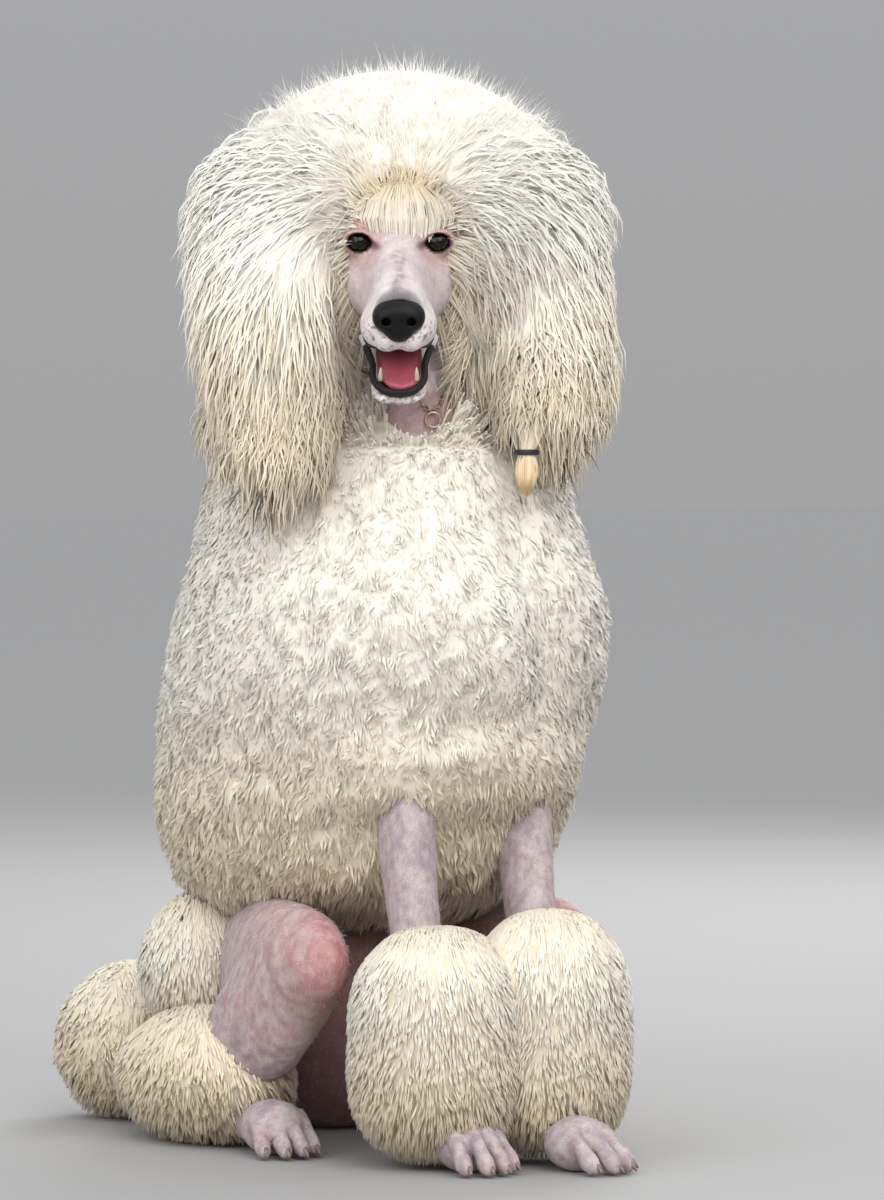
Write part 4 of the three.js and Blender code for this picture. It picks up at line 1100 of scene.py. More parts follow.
def bezier(controls, stops):
    """Tufts x stops x 3 from three or four control points of tufts x 3."""
    t = np.asarray(stops, float)[None, :, None]
    c = [point[:, None] for point in controls]
    if len(c) == 3:
        return (1 - t) ** 2 * c[0] + 2 * t * (1 - t) * c[1] + t**2 * c[2]
    ends = (1 - t) ** 3 * c[0] + t**3 * c[3]
    return ends + 3 * t * (1 - t) ** 2 * c[1] + 3 * t**2 * (1 - t) * c[2]


def wavy(root, elbow, end, draw, waves, amplitude, stops=6):
    """Paths that wave across their own run, more towards their ends."""
    t = np.linspace(0, 1, stops)
    across = unit(np.cross(unit(end - root), VIEW_SIDE))
    phase = CURL(end)[:, :1] * 1.6 + draw.uniform(0, 0.8, (len(root), 1))
    turn = t[None] * waves * CIRCLE + phase * 2
    swing = np.sin(turn) * t[None] ** 0.7 * amplitude
    depth = np.cos(turn) * t[None] * amplitude * 0.6
    paths = bezier([root, elbow, end], t)
    return paths + across[:, None] * swing[..., None] + VIEW_SIDE * depth[..., None]


def facing(normal, share=0.5):
    """More tufts where the photo looks, and enough on the other sides."""
    towards = normal @ VIEW_SIDE + np.maximum(normal[..., 2], 0) * 0.7
    return lerp(share, 1.0, smoothstep(towards, -0.35, 0.25))


SAMPLE_CELLS = 160


def sampled(surface, count, seed, low, high):
    """Random places on a surface of angle and height, as angle, height, normal and the draw."""
    draw = np.random.default_rng(seed)
    angles = np.linspace(-math.pi, math.pi, SAMPLE_CELLS + 1)
    heights = np.linspace(low, high, SAMPLE_CELLS + 1)
    p = surface(*np.meshgrid(angles, heights, indexing="ij"))
    normal = np.cross(p[1:, :-1] - p[:-1, :-1], p[:-1, 1:] - p[:-1, :-1])
    chance = np.linalg.norm(normal, axis=-1) * facing(unit(normal))
    cell = draw.choice(chance.size, count, p=chance.ravel() / chance.sum())
    i, j = np.divmod(cell, SAMPLE_CELLS)
    angle = angles[i] + draw.random(count) * (angles[1] - angles[0])
    height = heights[j] + draw.random(count) * (heights[1] - heights[0])
    return angle, height, unit(normal)[i, j], draw


def coat_tints(tips, base, tip_colour, draw, spread=0.05):
    """Root and tip colours of each tuft, with slow and single variation."""
    value = 1 + SHADE(tips)[:, :1] * 0.02 + draw.uniform(-spread, spread, (len(tips), 1))
    return [np.clip(colour * value, 0, 0.97) for colour in (base, tip_colour)]


def pile(
    name, surface, inner, colours, *, count, seed, span, width, curl, droop, keep=None,
    length=(0.93, 1.03), stops=(0, 0.74, 1), taper=(0.8, 1.0), replaces=(), softness=0.75,
    bend=0.8,
):
    """A scissored coat: tufts from a core to a surface, curled over at their tips."""
    angle, height, normal, draw = sampled(surface, count, seed, *span)
    tip, root = surface(angle, height), inner(angle, height)
    reach = draw.uniform(*length, (count, 1))
    swirl = CURL(tip) * curl * 0.7 + FINE_CURL(tip) * curl * 0.6
    swirl = flattened(swirl + draw.normal(0, curl * 0.3, tip.shape), normal, 0.7)
    hang = droop(height) if callable(droop) else droop
    end = root + (tip - root) * reach + swirl
    end[:, 2] -= hang
    elbow = root + (tip - root) * bend + swirl * 0.15
    elbow[:, 2] -= hang * 0.25
    paths = bezier([root, elbow, end], stops)
    paths[..., 2] = np.maximum(paths[..., 2], 1.5)
    kept = np.ones(count, bool) if keep is None else keep(root, end)
    uv = (angle + math.pi) / CIRCLE, (height - span[0]) / (span[1] - span[0])
    tints = coat_tints(tip, *colours(tip), draw)
    widths = (width * 0.75, width * 1.25)
    strands(name, paths, draw, tints, uv, widths, taper, normal, softness, replaces, kept)


# The jacket and shoulders.
def scissored_colours(low, base, white):
    """Colours of a scissored mass: white, and golden where low is 1, partly the coat's cream and
    partly painted shade.
    """
    top = lerp(WHITE_COAT, CREAM_COAT, 0.25 + low * 0.75)
    return lerp(ROOT_COAT_SHADE, GOLDEN_COAT, low * base), lerp(top, GOLDEN_COAT, low * white)


def jacket_colours(tip):
    return scissored_colours(low_share(tip), 0.6, 0.35)


def barrel_colours(tip):
    # Golden towards the floor: partly the coat's cream, partly painted shade.
    return scissored_colours(smoothstep(tip[:, 2:3], 150, 20), 1, 0.6)


# The crease beside the chest's left lobe: its angle and depth by height.
CREASE = [(350, 0.30, 0), (390, 0.30, 11), (450, 0.22, 13), (500, 0.14, 8), (530, 0.1, 0)]
CREASE_WIDTH = 0.085
LOBE = {"angle": 0.3, "width": 0.22, "height": 5}


def jacket_outer(angle, z, inset=1.0):
    """The jacket's surface with its crease, its lobe, its lower edge and lumpy curls."""
    at, depth = columns_at(CREASE, z)
    groove = depth * np.exp(-(((angle - at) / CREASE_WIDTH) ** 2))
    lobe = LOBE["height"] * np.exp(-(((angle - at - LOBE["angle"]) / LOBE["width"]) ** 2))
    lobe = lobe * smoothstep(z, 350, 400) * smoothstep(z, 560, 500)
    smooth = jacket_point(angle, z, 0)
    lumps = np.abs(BILLOW(smooth)[..., 0]) * 1.6 + np.abs(SMALL_BILLOW(smooth)[..., 1]) * 1.3
    apron = 12 * smoothstep(z, 350, 312) * smoothstep(z, 262, 292)
    apron = apron * smoothstep(np.abs(angle), 0.85, 0.5)
    return jacket_point(angle, z, inset + groove - apron - lobe + lumps)


def jacket():
    def inner(angle, z):
        return jacket_outer(angle, np.clip(z + 9, 214, 562), UNDERCOAT + 6)

    for name, low, high, count, seed, droop, replaces in (
        ("jacket_low", 172, 300, 10500, 51, 6, ("torso",)),
        ("jacket_middle", 300, 430, 11000, 52, 3, ()),
        ("jacket_high", 430, 566, 9800, 53, 3, ()),
    ):
        pile(
            name, jacket_outer, inner, jacket_colours, count=count, seed=seed, span=(low, high),
            width=2.7, curl=3.6, droop=droop, replaces=replaces, stops=(0, 0.6, 1), softness=0.85,
        )


def shoulder_point(angle, share):
    """From the jacket's upper edge in to the base of the neck."""
    low = jacket_point(angle, np.full_like(angle, 560.0), 4)
    high = neck_point(angle, np.full_like(angle, 622.0), 0.2)
    flat, lift = 1 - np.cos(share * math.pi / 2), np.sin(share * math.pi / 2)
    return low + (high - low) * np.stack([flat, flat, lift], -1)


def shoulders():
    """Hair that rises from the jacket's top to the throat and round the neck."""
    heart = np.array([0.0, 225, 470])

    def inner(angle, share):
        return heart + (shoulder_point(angle, share) - heart) * 0.87

    pile(
        "shoulders", shoulder_point, inner, jacket_colours, count=4400, seed=54,
        span=(-0.1, 0.93), width=2.6, curl=2.4, droop=5, length=(0.9, 1.06),
        stops=(0, 0.4, 0.78, 1), taper=(0.8, 1, 0.9),
        keep=lambda root, tip: outside_throat(root) & outside_throat(tip),
    )


# The topknot, mane and ears.
def outside_throat(points):
    return THROAT_OPENING[0](*points.T) > -3


def outside_face(points):
    left, forward, up = head_local(points).T
    wide, high, middle = columns_at(OPENING, forward)
    outside = ((left - OPENING_LEFT) / wide) ** 2 + ((up - middle) / high) ** 2 > 1
    return outside | (forward < OPENING[0][0])


def mane_colours(tip):
    left, forward, up = head_local(tip).T
    near = np.sqrt((left / 62) ** 2 + ((up - 52) / 40) ** 2 + ((forward - 5) / 45) ** 2)
    ochre = smoothstep(near, 1.0, 0.3)[:, None]
    # Painted shade: lower on the mane the tips are creamier and the roots more golden.
    shade = smoothstep(tip[:, 2:3], 780, 640)
    cream = lerp(WHITE_COAT, CREAM_COAT, 0.25 + shade * 0.65)
    base = lerp(ROOT_COAT_SHADE, GOLDEN_COAT, 0.35 + shade * 0.4)
    return lerp(base, GOLDEN_COAT, ochre), lerp(cream, GOLDEN_COAT, ochre * 0.8)


def golden_ends(root, end, draw, heights, gold, spread):
    """Colours of long locks, whose ends turn golden low on the mane."""
    share = smoothstep(end[:, 2:3], *heights) * draw.uniform(*gold, (len(end), 1))
    tip = lerp(mane_colours(end)[1], GOLDEN_COAT, share)
    return coat_tints(end, mane_colours(root)[1], tip, draw, spread)


ROOT_SWEEP = np.array([0.0, 0.85, -0.1])
ROOT_REACH = 0.78


def topknot_root(angle, height):
    """Roots nearer the face than the tips, so that the hair is swept back from it."""
    return topknot_at(unit(ball_heading(angle, height, 1) + ROOT_SWEEP), ROOT_REACH)


def topknot():
    def hang(height):
        return 8 + 52 * smoothstep(height, 0.15, -0.75)

    def keep(root, tip):
        return outside_face(tip) & (tip[:, 2] > 618)

    def part(name, **settings):
        pile(
            name, topknot_point, topknot_root, mane_colours, droop=hang, keep=keep, bend=0.6,
            **settings,
        )

    dense = {
        "width": 2.1, "curl": 6, "length": (0.8, 1.02), "stops": (0, 0.42, 0.76, 1),
        "taper": (0.9, 1, 0.7), "softness": 0.8,
    }
    part("topknot_low", count=7400, seed=61, span=(-0.88, 0.05), replaces=("topknot",), **dense)
    part("topknot_high", count=8000, seed=62, span=(0.05, 1.0), **dense)
    part(
        "topknot_wisps", count=4300, seed=63, span=(-0.8, 1.0), width=0.42, curl=14,
        length=(1.0, 1.2), stops=(0, 0.5, 0.8, 1), taper=(1, 1, 0.8), softness=0.6,
    )


def neck_mane():
    def keep(root, tip):
        x, y, radius = columns_at(NECK, root[:, 2])
        out = np.hypot(tip[:, 0] - x, tip[:, 1] - y) > radius + 14
        return out & outside_face(tip) & outside_throat(tip)

    pile(
        "neck_mane", lambda a, z: neck_point(a, z, 1.12), lambda a, z: neck_point(a, z, 0.62),
        mane_colours, count=1700, seed=65, span=(560, 700), width=2.4, curl=6, droop=26,
        keep=keep, stops=(0, 0.42, 0.76, 1), taper=(0.8, 1, 0.8), softness=0.7, replaces=("neck",),
    )


MANE_LOCKS = 12000  # on both sides together


def mane_places(points, draw):
    """Where the mane's locks may grow on the wool: its sides and back, and over the ears."""
    left, forward, up = head_local(points).T
    around_neck = np.arctan2(points[:, 0], 214 - points[:, 1]) - HEAD_YAW / 2
    low_end = points[:, 2] < np.where(np.abs(around_neck) > 1.3, 572, 622)
    low_end &= np.minimum(*(ear[0](*points.T) for ear in EAR_FORMS)) >= 9
    to_side, to_back = smoothstep(np.abs(left), 12, 60), smoothstep(forward, -110, -150)
    dome = smoothstep(up, 95, 30) * np.maximum(to_side, to_back)
    return (points[:, 2] > 540) & ~low_end & (draw.random(len(points)) < dome)


def mane_flow(wool):
    """Soft locks over the sides of the mane and the ears, out from the face and then down."""
    points, normals = surface_of(wool)
    draw = np.random.default_rng(66)
    grows = mane_places(points, draw)
    for name, side in SIDES.items():
        chosen = np.flatnonzero(grows & (head_local(points)[:, 0] * side > 0))
        share = facing(normals[chosen], 0.4)
        pick = draw.choice(chosen, MANE_LOCKS // 2, p=share / share.sum())
        count, normal = len(pick), normals[pick]
        root = points[pick] + draw.normal(0, 2.2, (count, 3)) - normal * 5
        left, _, up = head_local(root).T
        away = unit(np.stack([left - 3, 0 * left, up + 20], -1)) @ HEAD_AXES
        hang = smoothstep(up, 70, -40)[:, None]
        away[:, 2] = np.where(away[:, 2] < 0, away[:, 2] * 0.3, away[:, 2])
        flow = away * (1 - hang * 0.75) - HEAD_FORWARD * 0.25 - UP * (0.25 + hang)
        flow = unit(flattened(flow, normal))
        long = draw.uniform(34, 62, (count, 1)) * (0.8 + 0.35 * hang)
        elbow = root + normal * 13 + flow * long * 0.5
        late = unit(flow - UP * 0.55)
        end = root + normal * draw.uniform(5, 15, (count, 1)) + late * long
        paths = wavy(root, elbow, end, draw, 0.9, 2.6, 5)
        tints = golden_ends(root, end, draw, (690, 575), (0.2, 0.9), 0.06)
        kept = outside_face(end) & outside_face(elbow) & outside_throat(end)
        uv = (left + 200) / 400, (up + 220) / 400
        strands(
            f"mane_flow_{name}", paths, draw, tints, uv, width=(1.7, 2.9),
            taper=(0.8, 1, 0.9, 0.65), outward=normal, softness=0.82, kept=kept,
        )


EAR_DROP = {"right": (26, 60), "left": (18, 50)}
LOCK_TAPER = (0.9, 1, 1, 0.85, 0.6)


def ear_fringe(side, seed, count=1550):
    """Long, wavy strands from an ear's flap, down and outward to golden ends."""
    rows = curve_through(EARS[side], 10)
    draw = np.random.default_rng(seed)
    t = draw.uniform(0.45, 1.0, count) * (len(rows) - 1.001)
    i = t.astype(int)
    centre = lerp(rows[i], rows[i + 1], (t - i)[:, None])
    down = unit(rows[i + 1, :3] - rows[i, :3])
    across = unit(HEAD_LEFT - down * (down @ HEAD_LEFT)[:, None])
    front = np.cross(down, across)
    angle = draw.uniform(0, CIRCLE, count)
    c, s = np.cos(angle)[:, None], np.sin(angle)[:, None]
    out = across * c + front * s
    root = centre[:, :3] + out * centre[:, 3:4] * 0.5
    share = t / len(rows)
    flare = across * c * lerp(30, 34, share)[:, None] + front * s * 24
    drop = draw.uniform(*EAR_DROP[side], (count, 1)) * lerp(1.5, 1.0, share)[:, None]
    fall = unit(down - UP * 0.6)
    elbow = root + flare + fall * drop * 0.3
    end = root + flare * draw.uniform(0.7, 1.05, (count, 1)) + fall * drop
    paths = wavy(root, elbow, end, draw, 1.6, 3.2)
    tints = golden_ends(root, end, draw, (670, 590), (0.4, 0.9), 0.08)
    uv = angle / CIRCLE, share
    strands(
        f"ear_{side}_fringe", paths, draw, tints, uv, width=(1.7, 3.0), taper=LOCK_TAPER,
        outward=out, softness=0.75, replaces=(f"ear_{side}",),
    )


def cheek_curls(name, seed, count=750):
    """Wavy golden strands that frame the face and curl in beside the muzzle."""
    draw, side = np.random.default_rng(seed), SIDES[name]
    share = draw.uniform(0, 1, count)

    def spread(amount):
        return draw.normal(0, amount, count)

    root = head_point(side * lerp(45, 51, share), -24 + spread(6), lerp(26, -48, share))
    tip = head_point(
        side * (lerp(41, 33, share) + spread(5)) + 3, lerp(-6, -2, share) + spread(7),
        lerp(-50, -112, share) + spread(14),
    )
    elbow = head_point(
        side * (lerp(58, 68, share) + spread(4)), 8 + spread(6), lerp(-14, -86, share)
    )
    paths = wavy(root, elbow, tip, draw, 1.3, 2.6)
    gold = lerp(CREAM_COAT, GOLDEN_COAT, draw.uniform(0, 0.6, (count, 1)))
    tints = coat_tints(tip, GOLDEN_COAT, gold, draw, 0.08)
    uv = share, draw.random(count)
    out = np.broadcast_to(unit(HEAD_FORWARD + HEAD_LEFT * side * 0.7), tip.shape)
    strands(
        f"cheek_curls_{name}", paths, draw, tints, uv, width=(1.0, 2.0), taper=LOCK_TAPER,
        outward=out, softness=0.5,
    )


EAR_BAND = np.array([31.0, 62, 562])
BROW_BAND = (0, -6, 47)


def ear_tail(count=300):
    """The lock of the left ear that a band gathers."""
    draw = np.random.default_rng(99)
    ring = draw.uniform(0, CIRCLE, count)
    far = np.sqrt(draw.random(count))[:, None]
    flat = np.stack([np.cos(ring), np.sin(ring), np.zeros(count)], -1) * far
    root = np.array([44.0, 68, 596]) + flat * 17
    waist = EAR_BAND + flat * 5.5
    belly = np.array([29.0, 58, 548]) + flat * 13
    end = np.array([26.0, 55, 524]) + flat * 6 + UP * 8 * far
    upper = bezier([root, lerp(root, waist, 0.6), waist], (0, 0.5, 1))
    lower = bezier([waist, belly, end], (0.3, 0.6, 1))
    tints = coat_tints(end, CREAM_COAT, PEACH_COAT, draw, 0.08)
    strands(
        "ear_tail", np.concatenate([upper, lower], 1), draw, tints, (ring / CIRCLE, far[:, 0]),
        width=(1.2, 2.0), taper=(1, 1, 0.8, 1, 0.9), outward=flat + VIEW_SIDE * 0.4, softness=0.5,
    )


def brow(count=1750):
    """The puff over the forehead: strands drawn back from the brow into the band."""
    draw = np.random.default_rng(97)
    s = draw.uniform(-1, 1, count)
    depth = draw.uniform(0, 1, count)
    low = draw.normal(0, 3.2, count)
    root = head_point(5 + s * 37, 20 - 15 * s**2 - depth * 9, 8 + depth * 6 + 6 * s**2 + low)
    swell = head_point(5 + s * 46, 36 - 20 * s**2 - depth * 10, 25 + 0 * s)
    crown = head_point(4 + s * 34, 24 - 16 * s**2 - depth * 6, 54 - 11 * s**2 - depth * 4)
    back, high = (BROW_BAND[k] + draw.normal(0, 1.5, count) for k in (1, 2))
    end = head_point(4 + s * 4, back, high)
    paths = bezier([root, swell, crown, end], np.linspace(0, 1, 5))
    paths = paths + FINE_CURL(root)[:, None] * 0.5
    # The puff is a little darkened and its ends turn golden towards the band: partly ochre hair,
    # partly painted shade at the band.
    pale = lerp(WHITE_COAT, CREAM_COAT, 0.6) * 0.97
    tints = coat_tints(end, pale, GOLDEN_COAT * 0.9, draw)
    out = unit(swell + crown - 2 * head_point(4, -10, 20))
    strands(
        "brow", paths, draw, tints, ((s + 1) / 2, depth), width=(1.0, 1.8),
        taper=(0.7, 1, 0.9, 0.7), outward=out, softness=0.6, replaces=("brow",),
    )


# The bracelets, rosettes and pompon.
def bracelet(side, seed):
    barrel = BRACELETS[side]
    low, high = barrel["low"], barrel["high"]

    def outer(angle, z):
        return barrel_point(barrel, angle, z, 1.0)

    def inner(angle, z):
        heart = around(*barrel["at"], angle, 0, 0, np.clip(z, low + 58, high - 58))
        return heart + (outer(angle, z) - heart) * 0.84 + UP * 7

    pile(
        f"bracelet_{side}", outer, inner, barrel_colours, count=7000, seed=seed, span=(low, high),
        width=2.1, curl=2.6, droop=12, length=(0.9, 1.06), replaces=(f"bracelet_{side}",),
    )


def round_coat(name, form, count, seed, curl):
    pile(
        name, lambda a, h: round_point(form, a, h, 1.0),
        lambda a, h: round_point(form, a, h, 0.84) + UP * 8, barrel_colours,
        count=count, seed=seed, span=(-1, 1), width=2.3, curl=curl, droop=8,
        length=(0.9, 1.05), replaces=(name,),
    )


# The shaved parts.
HEAD_LOW_Z = 610
EYE_BARE = 15  # how far from an eye's front the short hair begins
FACE_HAIR, LEG_HAIR = 0.08, 0.3  # the share of the skin's points that carry a hair


def fuzz_places(points, draw):
    """Where short hair grows: the face without eyes and mouth, and the shaved legs."""
    left, forward, up = head_local(points).T
    out = np.abs(left)
    on_face = (forward > -30) & (forward < 112) & (up > -118) & (points[:, 2] > 590)
    on_face &= np.hypot(np.hypot(out - 31, (up - 2) * 1.2), forward - 16) >= EYE_BARE
    on_face &= ~((out < 27) & (up < -58) & (up > -104) & (forward < 98))
    on_leg = (shaved_share(points) > 0.9) & ~on_face & (points[:, 2] > 30)
    face_hair = on_face & (draw.random(len(points)) < FACE_HAIR)
    return face_hair | (on_leg & (draw.random(len(points)) < LEG_HAIR))


def fuzz(skin_piece, count=5000):
    """Very short hair lying back over the shaved face, legs and thighs."""
    points, normals = surface_of(skin_piece)
    draw = np.random.default_rng(98)
    chosen = draw.permutation(np.flatnonzero(fuzz_places(points, draw)))[:count]
    root, normal = points[chosen], normals[chosen]
    on_head = root[:, 2:3] > HEAD_LOW_Z
    lie = np.where(on_head, -HEAD_FORWARD - UP * 0.5, np.array([0, 0.1, -1.0]))
    lie = unit(unit(flattened(lie, normal)) + FINE_CURL(root) * 0.35)
    long = np.where(on_head, 2.4, 4.2) * draw.uniform(0.7, 1.2, (count, 1))
    middle = root + (lie * 0.5 + normal * 0.22) * long
    paths = np.stack([root - normal * 0.8, middle, root + (lie + normal * 0.26) * long], 1)
    white = lerp(FACE_WHITE, WHITE_COAT, 0.3)
    tints = coat_tints(root, lerp(white, SKIN_LAVENDER, 0.4), white, draw, 0.04)
    uv = draw.random(count), draw.random(count)
    strands(
        "fuzz", paths, draw, tints, uv, width=(0.3, 0.5), taper=(1, 0.9), outward=normal,
        softness=0.9,
    )


# The eyes, nose, tongue and small parts.
def ring_faces(rings, sides, closed=False):
    """Triangles between rings of points. Open ends meet two more points, at the list's end."""
    total, faces = rings * sides, []
    for r in range(rings if closed else rings - 1):
        for s in range(sides):
            a, b = r * sides + s, r * sides + (s + 1) % sides
            c, d = (a + sides) % total, (b + sides) % total
            faces += [(a, b, d), (a, d, c)]
    for s in range(0 if closed else sides):
        t, last = (s + 1) % sides, total - sides
        faces += [(total, t, s), (total + 1, last + s, last + t)]
    return np.array(faces)


def swept(rows, sides=8, closed=False):
    """A tube mesh along rows (x, y, z, radius), as points and triangles."""
    rows = np.array(rows, float)
    centres = rows[:, :3]
    both_ways = np.roll(centres, -1, 0) - np.roll(centres, 1, 0)
    ahead = unit(both_ways if closed else np.gradient(centres, axis=0))
    across = unit(np.cross(ahead, np.array([0.3, 0.2, 0.93])))
    angle = (np.arange(sides) * CIRCLE / sides)[None, :, None]
    ring = across[:, None] * np.cos(angle) + np.cross(ahead, across)[:, None] * np.sin(angle)
    points = (centres[:, None] + ring * rows[:, 3][:, None, None]).reshape(-1, 3)
    if not closed:
        points = np.concatenate([points, [centres[0]], [centres[-1]]])
    return points, ring_faces(len(rows), sides, closed)


def joined_pieces(parts):
    """Several (points, faces) as one."""
    starts = np.cumsum([0] + [len(points) for points, _ in parts])
    faces = [faces + start for (_, faces), start in zip(parts, starts)]
    return np.concatenate([points for points, _ in parts]), np.concatenate(faces)


def eyes(sides=40, rows=28):
    """Each eyeball with its cornea, iris and pupil round the line of its gaze."""
    v, u = np.meshgrid(
        np.linspace(0, math.pi, rows + 1)[1:-1], np.arange(sides) * CIRCLE / sides, indexing="ij"
    )
    body = np.stack([np.sin(v) * np.cos(u), np.sin(v) * np.sin(u), np.cos(v)], -1)
    local = np.concatenate([body.reshape(-1, 3), [UP, -UP]])
    faces = ring_faces(rows - 1, sides)[:, ::-1]
    for name, side in SIDES.items():
        gaze = unit(np.array([side * 0.10, 1.0, -0.02]))
        away = np.degrees(np.arccos(np.clip(local @ gaze, -1, 1)))[:, None]
        reach = EYE["radius"] + smoothstep(away, 38, 0) * 0.9
        centre = head_point(side * EYE["left"], EYE["forward"], EYE["up"])
        tints = lerp(EYE_WHITE, IRIS, smoothstep(away, 62, 56))
        tints = lerp(tints, PUPIL, smoothstep(away, 30, 26))
        points = centre + local @ HEAD_AXES * reach
        mesh_object(f"eye_{name}", points, faces, "eye", (f"eye_{name}",), tints)


def nose():
    """The pad with its wings, nostrils and groove, as a small field of its own."""
    middle = head_point(0, 106, -43)
    field = Field(*(np.arange(middle[i] - 30, middle[i] + 30, 0.8) for i in range(3)))
    field.add(head_ellipsoid(0, 105, -38, (19.5, 13, 11.5)), 2)
    field.add(head_ellipsoid(0, 106, -49, (12, 11, 12)), 5)
    for side in SIDES.values():
        field.add(head_ellipsoid(side * 11.5, 108, -42, (8.8, 9, 9.5)), 4)
    nostril = [(8.5, 122, -44, 3.2, 3.6), (11, 112, -43, 3.6, 3.2), (18, 108, -46, 2, 2)]
    for side in SIDES.values():
        field.cut(head_tube([(side * left, *rest) for left, *rest in nostril]), 1.2)
    field.cut(head_tube([(0, 119.5, -36, 0.8), (0, 119.5, -58, 0.8)]), 1.6)
    mesh_object("nose", *field.surface(), "nose", ("nose",))


def tongue(sides=20):
    """A flattened tube with a groove along its top, darker towards the back with painted shade."""
    stations = [
        (0, -14, -78, 17, 5), (0, 20, -84, 18, 5.5), (1, 46, -92, 18, 5.5),
        (1.5, 64, -99, 15.5, 5), (2, 76, -102.5, 10, 4),
    ]
    rows = curve_through(stations, 6)
    left, forward, up, wide, deep = (column[:, None] for column in rows.T)
    angle = np.arange(sides) * CIRCLE / sides
    across, high = np.cos(angle) * wide, np.sin(angle) * deep
    groove = 2.2 * np.exp(-((across / 3.5) ** 2)) * (high > 0)
    edge = 1.6 * (across / wide) ** 2
    points = head_point(left + across, forward, up + high - groove + edge).reshape(-1, 3)
    ends = [head_point(*rows[0][:3]), head_point(rows[-1][0], rows[-1][1] + 2, rows[-1][2])]
    points = np.concatenate([points, ends])
    # Painted shade: the tongue darkens towards the back, under the upper lip.
    shade_share = smoothstep(head_local(points)[:, 1], 62, 22)[:, None]
    tints = lerp(TONGUE_PINK, TONGUE_SHADE, shade_share)
    mesh_object("tongue", points, ring_faces(len(rows), sides), "tongue", ("tongue",), tints)


def lips():
    """The black edges of the lips, above and below, as thin rolls along the mouth."""
    route = both_sides(LOWER_LIP[2:])
    along = np.abs(np.linspace(-1, 1, len(route)))
    thick = np.interp(along, [0, 0.45, 0.7, 1], [2.6, 2.6, 1.9, 0.7])
    rolls = [[(*head_point(*p), t) for p, t in zip(route, thick)]]
    for side in SIDES.values():
        ends = zip(UPPER_LIP, (0.5, 1.3, 1.2, 0.5))
        rolls.append([(*head_point(side * a, b, c), t) for (a, b, c), t in ends])
    parts = [swept(curve_through(rows, 8), 10) for rows in rolls]
    mesh_object("lips", *joined_pieces(parts), "lips", ("jaw",), slot="skin")


def teeth():
    """The two lower canines."""
    parts = []
    for side in SIDES.values():
        root, tip = np.array((side * 14.5, 70, -98)), np.array((side * 14, 74, -87))
        stops = ((0, 2.0), (0.5, 1.6), (0.85, 0.9), (1, 0.3))
        rows = [(*head_point(*lerp(root, tip, share)), radius) for share, radius in stops]
        parts.append(swept(curve_through(rows, 4), 10))
    mesh_object("teeth", *joined_pieces(parts), "tooth")


# Along a claw: share of its toe's distance from the middle, place ahead, height, radius.
CLAW_ROWS = ((1.07, 12, 11, 3.0), (1.1, 19, 9, 2.6), (1.14, 25, 3.6, 0.7))


def claws():
    parts = []
    for leg in [*FORELEGS.values(), *HINDLEGS.values()]:
        at, _ = foot_frame(leg)
        for left, forward in TOES:
            rows = [(*at(left * k, forward + f, up), radius) for k, f, up, radius in CLAW_ROWS]
            parts.append(swept(curve_through(rows, 4), 8))
    mesh_object("claws", *joined_pieces(parts), "claw")


# The chain collar, its ring and the hair bands.
COLLAR_CENTRE = np.array([5.0, 203, 622])
COLLAR_LOW_Z = 592
COLLAR_RISE = 56
COLLAR_LINKS = 190
THROAT_YAW = HEAD_YAW * 0.6
THROAT_AHEAD = np.array([math.sin(THROAT_YAW), -math.cos(THROAT_YAW), 0])
THROAT_SIDE = np.array([-THROAT_AHEAD[1], THROAT_AHEAD[0], 0])


def collar_route(skin_piece):
    """The chain's line on the skin: a V drawn down at the front, level at the back."""
    tree = BVHTree.FromObject(skin_piece, bpy.context.evaluated_depsgraph_get())
    angle = np.linspace(-math.pi, math.pi, COLLAR_LINKS, endpoint=False)
    sharp = np.where(angle > 0, 0.42, 0.7)
    height = COLLAR_LOW_Z + COLLAR_RISE * (1 - np.exp(-np.abs(angle) / sharp))
    route = []
    for a, z in zip(angle, height):
        out = THROAT_AHEAD * math.cos(a) + THROAT_SIDE * math.sin(a)
        middle = np.array([*COLLAR_CENTRE[:2], z])
        hit = tree.ray_cast(Vector(metres(middle + out * 200)), Vector(-out))[0]
        skin_at = np.array(hit) / MM + FOOTPRINT_CENTRE if hit else middle + out * 70
        reach = min(np.linalg.norm((skin_at - middle)[:2]), 96)
        route.append(middle + out * (reach + 1.4))
    route = np.array(route)
    for _ in range(3):
        route = (np.roll(route, 1, 0) + 2 * route + np.roll(route, -1, 0)) / 4
    return route


def ring_rows(centre, across, along, radii, thick, steps):
    angle = (np.arange(steps) * CIRCLE / steps)[:, None]
    points = centre + across * np.cos(angle) * radii[0] + along * np.sin(angle) * radii[1]
    return np.concatenate([points, np.full((steps, 1), thick)], 1)


def collar(skin_piece):
    centres = collar_route(skin_piece)
    ahead = unit(np.roll(centres, -1, 0) - np.roll(centres, 1, 0))
    out = unit(flattened(unit(centres - COLLAR_CENTRE), ahead))
    lift = np.cross(ahead, out)
    pitch = np.linalg.norm(centres[1:] - centres[:-1], axis=1).mean()
    parts = []
    for k in range(COLLAR_LINKS):
        lean = unit(out[k] + lift[k] * (1 if k % 2 else -1))
        rows = ring_rows(centres[k], ahead[k], lean, (pitch * 0.85, 1.9), 0.55, 12)
        parts.append(swept(rows, 5, closed=True))
    mesh_object("collar_chain", *joined_pieces(parts), "collar", ("collar",))
    low = centres[COLLAR_LINKS // 2] + THROAT_AHEAD * 2.5 - UP * 7
    ring = swept(ring_rows(low, THROAT_SIDE, UP, (6, 6), 1.0, 28), 8, True)
    mesh_object("collar_ring", *ring, "collar", ("collar_ring",))


